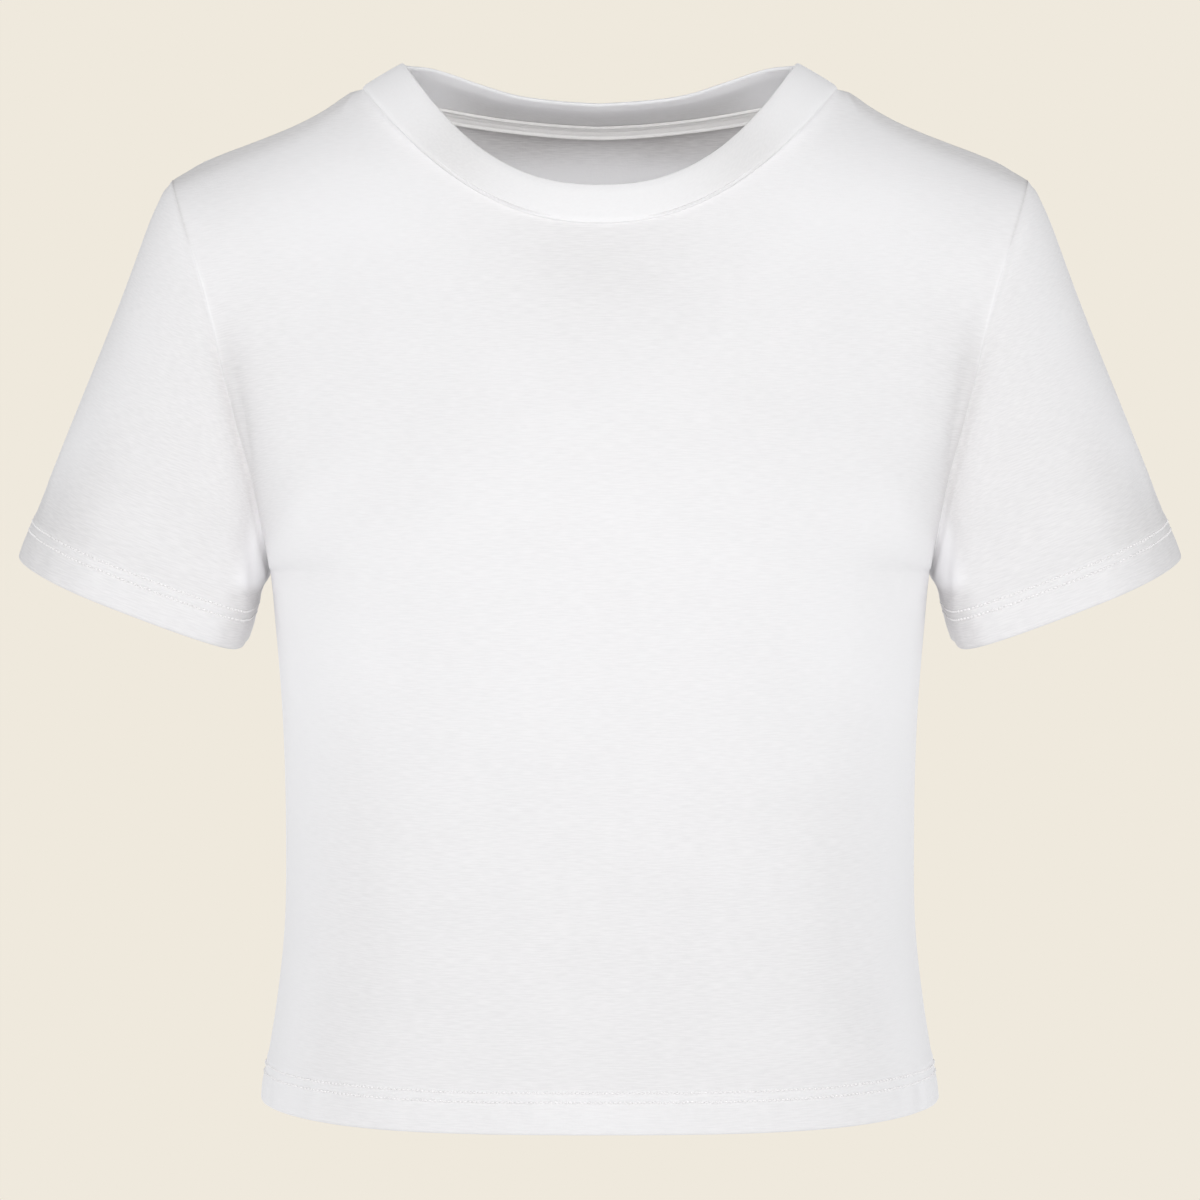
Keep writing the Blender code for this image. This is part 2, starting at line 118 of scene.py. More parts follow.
# Rows above the hem's edge: its rounded fold, the turned band, then the two needle
# rows, each in a small groove, and the step down to single cloth.
NEEDLE_ROWS = (0.0142, 0.0184)
HEM_ROWS = (
    0.0, 0.0002, 0.0006, 0.0012, 0.0022, 0.0036, 0.0052, 0.0068, 0.0084, 0.0100,
    0.0114, 0.0125, 0.0133, 0.0138, 0.0142, 0.0146, 0.0151, 0.0157, 0.0163, 0.0169,
    0.0175, 0.0180, 0.0184, 0.0188, 0.0193, 0.0199, 0.0206, 0.0215, 0.0228, 0.0245,
)
HEM_STEP = (0.0192, 0.0212)  # height over which a hem goes down to single cloth
HEM_FOLD = 0.0012  # height of the rounded fold at its edge
FOLD_LEAST = 0.09  # square of the share of its thickness left at the very edge

# Lines along a hem: height, half width, how far they stand out. A groove under each
# needle row, the ridge between the two, and the swells above and below them.
HEM_LINES = (
    (NEEDLE_ROWS[0], 0.0009, -0.00024),
    (NEEDLE_ROWS[1], 0.0009, -0.00024),
    (sum(NEEDLE_ROWS) / 2, 0.0012, 0.00016),
    (0.0208, 0.0012, 0.00030),
    (0.0075, 0.0055, 0.00030),
)
# Small puckers along a hem, each drawn by chance between two values.
PUCKER_EVERY = (0.007, 0.019)
PUCKER_LEAN = (-0.35, 0.35)
PUCKER_SIZE = (-0.00080, 0.00050)
PUCKER_WIDE = (0.0022, 0.0048)
PUCKER_BAND = (0.008, 0.009)  # their height above the edge, and half its spread

# Steps between the lines beside a seam, as shares of the panel.
EDGE_STEPS = np.array((0.0, 0.0022, 0.0048, 0.0078, 0.0112, 0.0150, 0.0195, 0.0250))
EDGE_REACH = 0.032  # share of a panel that those steps take up
EDGE_TURN = 0.004  # way from a seam over which a wall turns to face it
COLUMNS, RINGS, CLIMBS = 141, 94, 82  # of a panel, between the steps
RING_TOP, RING_FOOT = 0.0018, 0.0268  # where the rings end, from underarm and hem
COURSE_FALL = 0.25  # how far the courses follow the body; they stay almost level

# Soft creases of the front, alike on both sides: start x, start drop, end x,
# end drop, half width, depth (in is negative).
FRONT_CREASES = (
    (0.154, 0.216, 0.141, 0.186, 0.0070, -0.0012),
    (0.146, 0.212, 0.128, 0.176, 0.0100, 0.0006),
    (0.150, 0.236, 0.120, 0.224, 0.0080, -0.0006),
    (0.134, 0.470, 0.128, 0.400, 0.0120, -0.0012),
    (0.078, 0.078, 0.012, 0.158, 0.0110, 0.0007),
    (0.100, 0.070, 0.060, 0.120, 0.0090, -0.0005),
    (0.128, 0.288, 0.052, 0.256, 0.0100, -0.0010),
    (0.050, 0.300, 0.046, 0.440, 0.0090, -0.0009),
    (0.092, 0.330, 0.098, 0.460, 0.0130, 0.0008),
    (0.176, 0.060, 0.166, 0.096, 0.0070, 0.0009),
    (0.0440, 0.460, 0.0350, 0.477, 0.0030, -0.0016),
    (0.0500, 0.460, 0.0410, 0.477, 0.0032, 0.0015),
    (0.0335, 0.460, 0.0255, 0.477, 0.0030, 0.0014),
    (0.0215, 0.460, 0.0140, 0.477, 0.0030, -0.0015),
    (0.0860, 0.462, 0.0900, 0.476, 0.0050, -0.0004),
    (0.1180, 0.458, 0.1150, 0.474, 0.0055, -0.0005),
)

# Broad soft forms of the front, alike on both sides: x, drop, half width, half
# height, depth (in is negative).
FRONT_FORMS = (
    (0.000, 0.168, 0.040, 0.046, 0.0030),
    (0.064, 0.188, 0.045, 0.042, 0.0030),
    (0.000, 0.330, 0.034, 0.070, 0.0008),
)


def unit(vectors):
    """Each vector of an array at length one."""
    return vectors / np.linalg.norm(vectors, axis=-1, keepdims=True)


def ease(start, end, value):
    """Rises smoothly from 0 at start to 1 at end."""
    share = np.clip((value - start) / (end - start), 0, 1)
    return share * share * (3 - 2 * share)


def bump(middle, half_width, value):
    """A smooth swell of height one round a middle."""
    return np.exp(-(((value - middle) / half_width) ** 2))


def hermite(start, leave, end, arrive, t):
    """The point at t on the cubic from start to end with those end tangents."""
    return (
        (2 * t**3 - 3 * t**2 + 1) * start
        + (t**3 - 2 * t**2 + t) * leave
        + (3 * t**2 - 2 * t**3) * end
        + (t**3 - t**2) * arrive
    )


def read_table(table, column, place):
    """A smooth curve through one column of a table, read at places in its first."""
    places = np.array([row[0] for row in table])
    values = np.array([row[column] for row in table])
    slopes = np.gradient(values, places)
    place = np.clip(place, places[0], places[-1])
    i = np.clip(np.searchsorted(places, place, side="right") - 1, 0, len(places) - 2)
    step = places[i + 1] - places[i]
    t = (place - places[i]) / step
    return hermite(values[i], slopes[i] * step, values[i + 1], slopes[i + 1] * step, t)


def neck_seam(turn):
    """Points of the seam between the neckband and the panels."""
    front = turn <= 0
    x = SEAM_HALF * np.cos(turn)
    share = np.abs(x) / SEAM_HALF
    y = NECK_POINT_Y + np.where(front, SEAM_FRONT, SEAM_BACK) * np.sin(turn)
    front_z = (SEAM_FRONT_DROP + SEAM_SIDE_RISE) * share**SEAM_FRONT_SCOOP - SEAM_FRONT_DROP
    back_z = (SEAM_BACK_DROP + SEAM_SIDE_RISE) * share**SEAM_BACK_SCOOP - SEAM_BACK_DROP
    return np.stack((x, y, np.where(front, front_z, back_z)), -1)


def neck_turn(across, face):
    """The angle round the neck at which a panel's column ends."""
    return face * (1 - across / NECK_SHARE) * np.pi / 2


def armhole(climb, face, side):
    """Points of an armhole seam, climb 0 at the underarm and 1 at the shoulder tip."""
    angle = np.pi * (1 - climb)
    middle = (UNDERARM_DROP + SHOULDER_DROP) / 2
    half = (UNDERARM_DROP - SHOULDER_DROP) / 2
    drop = middle - half * np.cos(angle)
    deep = ARM_FRONT if face < 0 else ARM_BACK
    power = 1 - ARM_FULL * (1 - np.cos(angle))
    y = face * deep * np.clip(np.sin(angle), 0, 1) ** power + SHOULDER_BACK * climb
    under = SECTIONS[0][1]
    rise = np.clip((UNDERARM_DROP - drop) / (2 * half), 0, 1)
    x = under + (SHOULDER_HALF - under) * rise**ARM_SWEEP
    return np.stack((side * x, y, -drop), -1)


def armhole_out(climb, face, side):
    """The directions in which the walls thicken at an armhole seam, outwards."""
    points = armhole(climb, face, side)
    middle = -(UNDERARM_DROP + SHOULDER_DROP) / 2
    lean = points[..., 1] - SHOULDER_BACK * climb
    return unit(np.stack((0 * lean, lean, points[..., 2] - middle), -1))


def level_ring(across, drop, face):
    """Points of level body sections."""
    angle = across * np.pi / 2
    half = read_table(SECTIONS, 1, drop)
    deep = read_table(SECTIONS, 2 if face < 0 else 3, drop)
    sine = np.sin(angle)
    cosine = np.clip(np.cos(angle), 0, 1)
    x = half * np.sign(sine) * np.abs(sine) ** BOW
    y = face * deep * cosine**BOW
    low = np.clip((drop - HEM_RISE_FROM) / (BODY_LENGTH - HEM_RISE_FROM), 0, 1) ** 2
    z = (HEM_RISE * sine**HEM_SWEEP - HEM_DIP * cosine**2) * low - drop
    return np.stack(np.broadcast_arrays(x, y, z), -1)


def top_edge(across, face):
    """Points of a panel's top edge: neck seam, then shoulder seam."""
    share = (np.abs(across) - NECK_SHARE) / (1 - NECK_SHARE)
    x = SEAM_HALF + (SHOULDER_HALF - SEAM_HALF) * share
    y = NECK_POINT_Y + (SHOULDER_BACK - NECK_POINT_Y) * share
    shoulder = np.stack((np.copysign(x, across), y, -read_table(SHOULDER_SEAM, 1, x)), -1)
    at_neck = np.abs(across) <= NECK_SHARE + 1e-9
    turn = neck_turn(np.clip(across, -NECK_SHARE, NECK_SHARE), face)
    return np.where(at_neck[..., None], neck_seam(turn), shoulder)


def columns(across, climb, face, lean_table):
    """Points of a panel above underarm height, before the armhole shapes it."""
    across = np.atleast_1d(across)[None, :]
    climb = climb[:, None, None]
    start = level_ring(across, UNDERARM_DROP, face)
    below = level_ring(across, UNDERARM_DROP + 0.01, face)
    end = top_edge(across, face)
    reach = np.linalg.norm(end - start, axis=-1, keepdims=True)
    lean = np.radians(read_table(lean_table, 1, np.abs(across)))
    arrive = np.stack((0 * lean, -face * np.sin(lean), np.cos(lean)), -1) * reach * LEAN_PULL
    return hermite(start, unit(start - below) * reach, end, arrive, climb)


def upper_panel(across, climb, face, lean_table):
    """Points of a panel above underarm height."""
    points = columns(across, climb, face, lean_table)
    pull = ease(ARM_PULL_FROM, 1.0, np.abs(across))[None, :, None]
    for side in (-1, 1):
        shift = armhole(climb, face, side)[:, None] - columns(side, climb, face, lean_table)
        points = points + pull * shift * (np.sign(across) == side)[None, :, None]
    return points


def pulled_smooth(points, across, climb):
    """The panel with the cloth round its two neck points drawn smooth, seams held."""
    left, right = np.diff(across)[:-1, None], np.diff(across)[1:, None]
    low, high = np.diff(climb)[:-1, None, None], np.diff(climb)[1:, None, None]
    weight = bump(NECK_SHARE, SMOOTH_SIDE, np.abs(across)) * ease(*SMOOTH_CLIMB, climb)[:, None]
    weight = weight[1:-1, 1:-1, None]
    for _ in range(SMOOTH_PASSES):
        beside = (points[1:-1, :-2] * right + points[1:-1, 2:] * left) / (left + right)
        above = (points[:-2, 1:-1] * high + points[2:, 1:-1] * low) / (low + high)
        points[1:-1, 1:-1] += weight * ((beside + above) / 2 - points[1:-1, 1:-1])
    return points


def along(points, axis):
    """Length along rows or columns of a grid, from its first line."""
    steps = np.linalg.norm(np.diff(points, axis=axis), axis=-1)
    zero = np.zeros_like(np.take(steps, [0], axis=axis))
    return np.concatenate((zero, np.cumsum(steps, axis=axis)), axis=axis)


def crease_relief(here, creases):
    """How far creases move points out of their face, from the points' two places."""
    relief = np.zeros(here.shape[:-1])
    for x0, up0, x1, up1, half, deep in creases:
        start = np.array((x0, up0))
        run = np.array((x1, up1)) - start
        share = np.clip((here - start) @ run / (run @ run), 0, 1)
        away = np.linalg.norm(here - start - share[..., None] * run, axis=-1)
        taper = np.sin(np.pi * (0.12 + 0.88 * share)).clip(0)
        relief += deep * taper * bump(0, half, away)
    return relief


def form_relief(points, forms):
    """How far the broad forms swell or sink a panel's points."""
    relief = np.zeros(points.shape[:-1])
    for x, drop, wide, tall, deep in forms:
        side = bump(x, wide, np.abs(points[..., 0]))
        relief += deep * side * bump(drop, tall, -points[..., 2])
    return relief


def hem_relief(height, place, seed):
    """A turned hem's relief: the lines along it, and small puckers."""
    chance = np.random.default_rng(seed)
    relief = np.zeros_like(height)
    for middle, half, deep in HEM_LINES:
        relief += deep * bump(middle, half, height)
    band = bump(*PUCKER_BAND, height)
    start = float(place.min())
    while start < float(place.max()):
        start += chance.uniform(*PUCKER_EVERY)
        lean = chance.uniform(*PUCKER_LEAN)
        size = chance.uniform(*PUCKER_SIZE)
        wide = chance.uniform(*PUCKER_WIDE)
        relief += size * band * bump(start, wide, place + lean * (height - PUCKER_BAND[0]))
    return relief


def hem_walls(points, out, height):
    """Outer and inner skins of a wall whose turned hem is double cloth."""
    double = 1 - ease(*HEM_STEP, height)
    thick = CLOTH + (HEM_CLOTH - CLOTH) * double
    fold = np.sqrt(np.clip(1 - (1 - height / HEM_FOLD).clip(0) ** 2, FOLD_LEAST, 1))
    middle = HEM_PROUD * double - thick / 2
    outer = points + out * (middle + thick / 2 * fold)[..., None]
    inner = points + out * (middle - thick / 2 * fold)[..., None]
    return outer, inner


def linear(hex_colour):
    """An sRGB hex colour as linear red, green, blue and alpha."""
    values = [int(hex_colour[i : i + 2], 16) / 255 for i in (1, 3, 5)]
    curve = [v / 12.92 if v <= 0.04045 else ((v + 0.055) / 1.055) ** 2.4 for v in values]
    return (*curve, 1.0)


def add_object(name, data):
    """Puts a mesh, a light or a camera into the scene."""
    thing = bpy.data.objects.new(name, data)
    bpy.context.collection.objects.link(thing)
    return thing


def new_material(name):
    """A new material, its node tree and its shader."""
    material = bpy.data.materials.new(name)
    material.use_nodes = True
    return material, material.node_tree, material.node_tree.nodes["Principled BSDF"]


def add_node(tree, kind, inputs=None, settings=None, **values):
    """Adds a node, sets its properties, and links its inputs or sets their values."""
    node = tree.nodes.new("ShaderNode" + kind)
    for name, value in (settings or {}).items():
        setattr(node, name, value)
    for name, value in values.items():
        node.inputs[name.replace("_", " ")].default_value = value
    for name, value in (inputs or {}).items():
        if isinstance(value, bpy.types.NodeSocket):
            tree.links.new(value, node.inputs[name])
        else:
            node.inputs[name].default_value = value
    return node


def knit_cotton(name, light, dark, wale, slub, sheen):
    """Bleached combed cotton, knitted: matt, soft, with short fibres that lift off
    and catch light at the edges, and thicker stretches of yarn that show as streaks."""
    material, tree, shader = new_material(name)
    shader.inputs["Sheen Weight"].default_value = sheen
    shader.inputs["Sheen Roughness"].default_value = 0.45
    shader.inputs["IOR"].default_value = 1.5
    shader.inputs["Specular IOR Level"].default_value = 0.15
    cloth = add_node(tree, "UVMap", settings={"uv_map": "cloth"}).outputs[0]

    # Sizes of the patterns, across and up the cloth: slubs, which are thicker stretches
    # of yarn; the fuzz of fibre between stitches, drawn at about a millimetre; broad,
    # very faint clouds in the bleach; and wales, the columns of stitches. Real wales are
    # 0.7 mm apart, drawn coarser to show.
    sizes = (slub, (0.0016, 0.0009), (0.055, 0.022), (wale, wale * 0.8))
    slub_at, fibre_at, cloud_at, wale_at = [
        add_node(tree, "VectorMath", {0: cloth, 1: (1 / across, 1 / up, 1)},
                 {"operation": "MULTIPLY"}).outputs[0]
        for across, up in sizes
    ]
    flat = {"noise_dimensions": "2D"}
    yarn = add_node(tree, "TexNoise", {"Vector": slub_at}, flat, Scale=1.0,
                    Detail=1.5, Roughness=0.5, Distortion=0.1).outputs["Fac"]
    fibre = add_node(tree, "TexNoise", {"Vector": fibre_at}, flat, Scale=1.0,
                     Detail=2.0, Roughness=0.6).outputs["Fac"]
    cloud = add_node(tree, "TexNoise", {"Vector": cloud_at}, flat, Scale=1.0,
                     Detail=2.0).outputs["Fac"]
    split = add_node(tree, "SeparateXYZ", {0: wale_at}).outputs
    column = add_node(tree, "Math", {0: split[0], 1: 0.5},
                      {"operation": "PINGPONG"}).outputs[0]
    slant = add_node(tree, "Math", {0: column, 1: split[1]},
                     {"operation": "ADD"}).outputs[0]
    loop = add_node(tree, "Math", {0: slant, 1: 0.5},
                    {"operation": "PINGPONG"}).outputs[0]
    stitch = add_node(tree, "Math", {0: loop, 1: column},
                      {"operation": "MULTIPLY"}).outputs[0]

    marks = add_node(tree, "Math", {0: cloud, 1: 0.3, 2: yarn},
                     {"operation": "MULTIPLY_ADD"}).outputs[0]
    mixed = add_node(tree, "MapRange", {"Value": marks}, From_Min=0.40,
                     From_Max=0.90).outputs[0]
    colour = add_node(tree, "Mix", {"Factor": mixed, 6: linear(dark), 7: linear(light)},
                      {"data_type": "RGBA"}).outputs[2]
    # Painted light and shade: an attribute takes the colour on towards white for painted light
    # and back from white for painted shade, in part standing for the real layers of cloth behind.
    painted_shade_attribute = add_node(tree, "Attribute", settings={"attribute_name": "layers_and_painted_shade"})
    colour = add_node(tree, "Mix",
                      {"Factor": painted_shade_attribute.outputs["Fac"], 6: colour, 7: linear("#fffeff")},
                      {"data_type": "RGBA", "clamp_factor": False}).outputs[2]
    tree.links.new(colour, shader.inputs["Base Color"])
    rough = add_node(tree, "MapRange", {"Value": yarn}, To_Min=0.96, To_Max=0.84)
    tree.links.new(rough.outputs[0], shader.inputs["Roughness"])
    under = {}
    for pattern, strength, distance in (
        (yarn, 0.15, 0.0003), (fibre, 0.3, 0.00025), (stitch, 0.2, 0.0002)
    ):
        relief = add_node(tree, "Bump", {"Height": pattern, **under},
                          Strength=strength, Distance=distance).outputs[0]
        under = {"Normal": relief}
    tree.links.new(relief, shader.inputs["Normal"])
    return material


def add_wall(name, outer, inner, cloth, material, layers_and_painted_shade, inside_layers_and_painted_shade, wrap=False):
    """A closed wall between two grids of points; cloth holds each point's place on
    the flat piece in metres, and the two arrays after the material give each skin's painted light
    and shade, in part standing for the cloth behind it."""
    rows, count = outer.shape[:2]
    ends = count + 1 if wrap else count
    i, j = np.meshgrid(np.arange(rows - 1), np.arange(ends - 1), indexing="ij")
    i, j = i.ravel(), j.ravel()
    corners = np.stack(((i, j), (i, j + 1), (i + 1, j + 1), (i + 1, j)), 1)
    skin = (corners[0] * count + corners[1] % count).T
    places = cloth[corners[0], corners[1]].transpose(1, 0, 2)
    faces = [skin, skin[:, ::-1] + rows * count]
    marks = [places, places[:, ::-1]]
    round_row = np.arange(ends) % count
    rims = [(row * count + round_row, cloth[row], row == 0) for row in (0, rows - 1)]
    if not wrap:
        up = np.arange(rows) * count
        rims += [(up + col, cloth[:, col], col != 0) for col in (0, count - 1)]
    for edge, place, flip in rims:
        a, b = edge[:-1], edge[1:]
        rim = np.stack((a, b, b + rows * count, a + rows * count), 1)
        mark = np.stack((place[:-1], place[1:], place[1:], place[:-1]), 1)
        faces.append(rim[:, ::-1] if flip else rim)
        marks.append(mark[:, ::-1] if flip else mark)
    faces = np.concatenate(faces)
    marks = np.concatenate(marks)
    points = np.concatenate((outer.reshape(-1, 3), inner.reshape(-1, 3)))
    mesh = bpy.data.meshes.new(name)
    mesh.from_pydata(points.tolist(), [], faces.tolist())
    uv = mesh.uv_layers.new(name="cloth")
    uv.data.foreach_set("uv", marks.reshape(-1).astype(np.float32))
    mesh.shade_smooth()
    mesh.set_sharp_from_angle(angle=math.radians(50))
    mesh.materials.append(material)
    layers = np.concatenate((layers_and_painted_shade.ravel(), inside_layers_and_painted_shade.ravel()))
    mesh.attributes.new("layers_and_painted_shade", "FLOAT", "POINT").data.foreach_set("value", layers)
    mesh.validate()
    return add_object(name, mesh)


def columns_across():
    """Where a panel's columns lie between its sides, from -1 to 1."""
    between = np.linspace(-1 + EDGE_REACH, 1 - EDGE_REACH, COLUMNS)
    return np.concatenate((-1 + EDGE_STEPS, between, (1 - EDGE_STEPS)[::-1]))


def panel_grid(face, lean_table):
    """A panel's base points, outward directions, and places on it."""
    across = columns_across()
    rings = np.linspace(BODY_LENGTH - RING_FOOT, UNDERARM_DROP + RING_TOP, RINGS)
    drops = np.concatenate((BODY_LENGTH - np.array(HEM_ROWS), rings))
    climb = np.concatenate((np.linspace(0, 1 - EDGE_REACH, CLIMBS), (1 - EDGE_STEPS)[::-1]))
    lower = level_ring(across[None, :], drops[:, None], face)
    upper = pulled_smooth(upper_panel(across, climb, face, lean_table), across, climb)
    points = np.concatenate((lower, upper))
    wide = along(points, 1)
    tall = along(points, 0)
    side_gap = np.minimum(wide, wide[:, -1:] - wide)
    top_gap = tall[-1:] - tall
    out = unit(np.cross(np.gradient(points, axis=1), np.gradient(points, axis=0))) * -face
    level = len(drops)
    for side in (-1, 1):
        edge = np.zeros(points[:, 0].shape)
        edge[:level] = (side, 0, 0)
        edge[level:] = armhole_out(climb, face, side)
        near = bump(0, EDGE_TURN, side_gap) * (np.sign(across) == side)
        out = out + near[..., None] * 3 * (edge[:, None] - out)
    seam = np.gradient(points[-1], axis=0)
    top_out = unit(np.stack((-seam[:, 2], 0 * seam[:, 2], seam[:, 0]), -1))
    on_shoulder = (np.abs(across) > NECK_SHARE)[None, :]
    near = bump(0, EDGE_TURN, top_gap) * on_shoulder * (1 - bump(0, EDGE_TURN, side_gap))
    out = unit(out + near[..., None] * (top_out[None] - out))
    rise = points[..., 2] - points[:1, :, 2]
    courses = rise + COURSE_FALL * (tall - rise)
    cloth = np.stack((wide - wide[:, -1:] / 2, courses), -1)
    height = np.where(np.arange(len(points))[:, None] < level, tall, 1.0)
    return points, out, cloth, side_gap, top_gap, height


def welt_height(drop):
    """How far the seam allowance lifts the armhole seam, by its drop."""
    return 0.0007 * ease(0.148, 0.130, drop) * ease(0.074, 0.083, drop)


# Painted light and shade: a per-point attribute takes the cloth's colour on towards white for
# painted light, and back from white for painted shade. In part it stands for real extra layers
# (the double hem, the seam allowance); mostly it is painted light on the sides and below the
# shoulders, and painted shade low down, over the shoulder tops, beside the armholes, below the
# front neck and along the body-sleeve fold.
BODY_PAINTED_LIGHT = 0.49
LOW_PAINTED_SHADE = 0.15  # painted shade lower down, where the body hangs free
SIDE_PAINTED_LIGHT = 0.62  # painted light towards the sides, where front and back lie close together
SIDE_SEAM_PAINTED_SHADE = 0.35  # but painted shade on the turn of the side seam itself
SHOULDER_PAINTED_LIGHT = 0.26  # painted light below the shoulder, where the front lies on the back
FLANK_PAINTED_LIGHT = 0.16  # and painted light just below the underarm
ARM_PAINTED_SHADE = 0.25  # painted shade beside the armhole
TOP_PAINTED_SHADE = 0.75  # strong painted shade over the shoulder tops
NECK_PAINTED_SHADE = 0.22  # painted shade below the front neck, where the open neck is behind the front
# The double hem whiter: in part its real second layer, in part painted light, most at the centre.
HEM_LAYER_AND_PAINTED_LIGHT = 0.10
HEM_END = (0.0194, 0.0202)  # height over which a hem's second layer ends
# Painted light along the armhole seam's ridge, in part for the seam allowance's extra layer.
SEAM_LAYER_AND_PAINTED_LIGHT = 0.28
VALLEY_PAINTED_SHADE = 0.30  # painted shade along the fold between body and sleeve
TIP_PAINTED_SHADE = 0.35  # and painted shade in the seam at the shoulder tip


def seam_painted_shade(gap, drop):
    """Painted light and shade by the armhole seam, by the way from it: a light line on the seam
    allowance, in part for its extra layer, and painted shade along the lower valley and at the
    shoulder tip.
    """
    ridge = SEAM_LAYER_AND_PAINTED_LIGHT * ease(0.156, 0.128, drop) * ease(0.066, 0.098, drop)
    valley = VALLEY_PAINTED_SHADE * ease(0.105, 0.145, drop) * ease(0.210, 0.185, drop)
    tip = TIP_PAINTED_SHADE * ease(0.080, 0.070, drop)
    layers_and_painted_shade = ridge * bump(0.0002, 0.0010, gap) - valley * bump(0, 0.010, gap)
    return layers_and_painted_shade - tip * bump(0, 0.0009, gap)


def panel_painted_shade(points, height, side_gap, top_gap):
    """Painted light and shade on each point of a panel, in part standing for the cloth behind it.
    """
    drop, edge_drop = -points[..., 2], -points[:, :1, 2]
    on_body = ease(0.20, 0.24, edge_drop)
    layers_and_painted_shade = BODY_PAINTED_LIGHT - LOW_PAINTED_SHADE * ease(0.26, 0.42, drop)
    layers_and_painted_shade = layers_and_painted_shade + SIDE_PAINTED_LIGHT * ease(0.105, 0.025, side_gap) * on_body
    out_from_centre = np.abs(points[..., 0])
    layers_and_painted_shade += SHOULDER_PAINTED_LIGHT * bump(0.115, 0.050, out_from_centre) * bump(0.055, 0.035, drop)
    layers_and_painted_shade -= NECK_PAINTED_SHADE * bump(0, 0.045, points[..., 0]) * bump(0.088, 0.030, drop)
    layers_and_painted_shade += FLANK_PAINTED_LIGHT * bump(0.115, 0.025, out_from_centre) * bump(0.260, 0.045, drop)
    layers_and_painted_shade -= ARM_PAINTED_SHADE * ease(0.060, 0.0, side_gap) * bump(0.145, 0.045, edge_drop)
    in_hem = 1 - ease(*HEM_END, height)
    layers_and_painted_shade += HEM_LAYER_AND_PAINTED_LIGHT * in_hem * (0.5 + bump(0, 0.06, points[..., 0]))
    layers_and_painted_shade = np.clip(layers_and_painted_shade, 0, 1) - SIDE_SEAM_PAINTED_SHADE * ease(0.020, 0.0, side_gap) * on_body
    on_shoulder = (np.abs(columns_across()) > NECK_SHARE)[None, :]
    layers_and_painted_shade -= TOP_PAINTED_SHADE * ease(0.028, 0.002, top_gap) * on_shoulder
    return np.clip(layers_and_painted_shade, -0.05, 1) + seam_painted_shade(side_gap, edge_drop)


def seam_valley(drop):
    """How deep the armhole seam lies between body and sleeve, by its drop."""
    return 0.0024 * ease(0.090, 0.135, drop) * ease(0.190, 0.160, drop)


def seam_relief(side_gap, top_gap, edge_drop):
    """Dips along the sewn edges, and the swell of the seam allowance under them."""
    low, high = ease(0.130, 0.150, edge_drop), ease(0.081, 0.074, edge_drop)
    relief = welt_height(edge_drop) * bump(0, 0.0013, side_gap)
    relief = relief - (0.0005 * low + 0.0005 * high) * bump(0, 0.0011, side_gap)
    relief -= seam_valley(edge_drop) * bump(0, 0.0075, side_gap)
    at_neck = (np.abs(columns_across()) < NECK_SHARE)[None, :]
    groove = np.where(at_neck, 0.0036, 0.0012)
    relief -= np.where(at_neck, 0.0004, 0.0005) * bump(0, groove, top_gap)
    relief += np.where(at_neck, 0.0, 0.00025) * bump(0.0045, 0.0028, top_gap)
    return relief


def panel(face, lean_table, creases, forms, seed):
    """A panel: its base points, outward directions, places, two skins and backing."""
    points, out, cloth, side_gap, top_gap, height = panel_grid(face, lean_table)
    here = np.stack((np.abs(points[..., 0]), -points[..., 2]), -1)
    relief = crease_relief(here, creases) + form_relief(points, forms)
    relief *= ease(0.0005, 0.014, side_gap) * ease(0.0005, 0.016, top_gap)
    relief += seam_relief(side_gap, top_gap, -points[:, :1, 2])
    relief += hem_relief(height, cloth[..., 0], seed) * ease(0, 0.010, side_gap)
    outer, inner = hem_walls(points + out * relief[..., None], out, height)
    return points, out, cloth, outer, inner, panel_painted_shade(points, height, side_gap, top_gap)


_, front_out, front_cloth, front_outer, front_inner, front_painted_shade = panel(
    -1, FRONT_LEAN, FRONT_CREASES, FRONT_FORMS, seed=11
)
cotton_jersey = knit_cotton("bleached_cotton_jersey", light="#ebe9e9", dark="#e1dfdf",
                            wale=0.0014, slub=(0.0070, 0.0006), sheen=0.04)
front = add_wall("front_jersey", front_outer, front_inner, front_cloth, cotton_jersey,
                 front_painted_shade, front_painted_shade)
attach(front, "root")
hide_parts("front_panel")


# ---------------------------------------------------------------------------
# Back panel. The same jersey, cut like the front but with a high back neck. It is
# sewn to the front along the shoulders and sides, and hangs from the shoulder
# blades, so its creases run down from there and into the small of the back.

BACK_LEAN = ((0.0, 48.0), (0.3, 52.0), (0.6, 68.0), (0.8, 80.0), (1.0, 88.0))

# Soft creases of the back: start x, start drop, end x, end drop, half width, depth.
BACK_CREASES = (
    (0.156, 0.210, 0.122, 0.140, 0.0120, -0.0032),
    (0.138, 0.212, 0.100, 0.168, 0.0140, 0.0015),
    (0.070, 0.475, 0.060, 0.330, 0.0160, -0.0016),
    (0.112, 0.475, 0.116, 0.390, 0.0140, 0.0012),
    (0.150, 0.240, 0.100, 0.262, 0.0090, -0.0012),
    (0.026, 0.300, 0.020, 0.452, 0.0120, 0.0010),
    (0.090, 0.120, 0.070, 0.210, 0.0200, 0.0014),
    (0.000, 0.060, 0.000, 0.150, 0.0160, -0.0006),
    (0.052, 0.462, 0.049, 0.478, 0.0046, -0.0006),
    (0.020, 0.464, 0.024, 0.478, 0.0040, -0.0005),
    (0.132, 0.460, 0.128, 0.476, 0.0060, -0.0006),
)

back_points, back_out, back_cloth, back_outer, back_inner, back_painted_shade = panel(
    1, BACK_LEAN, BACK_CREASES, (), seed=23
)
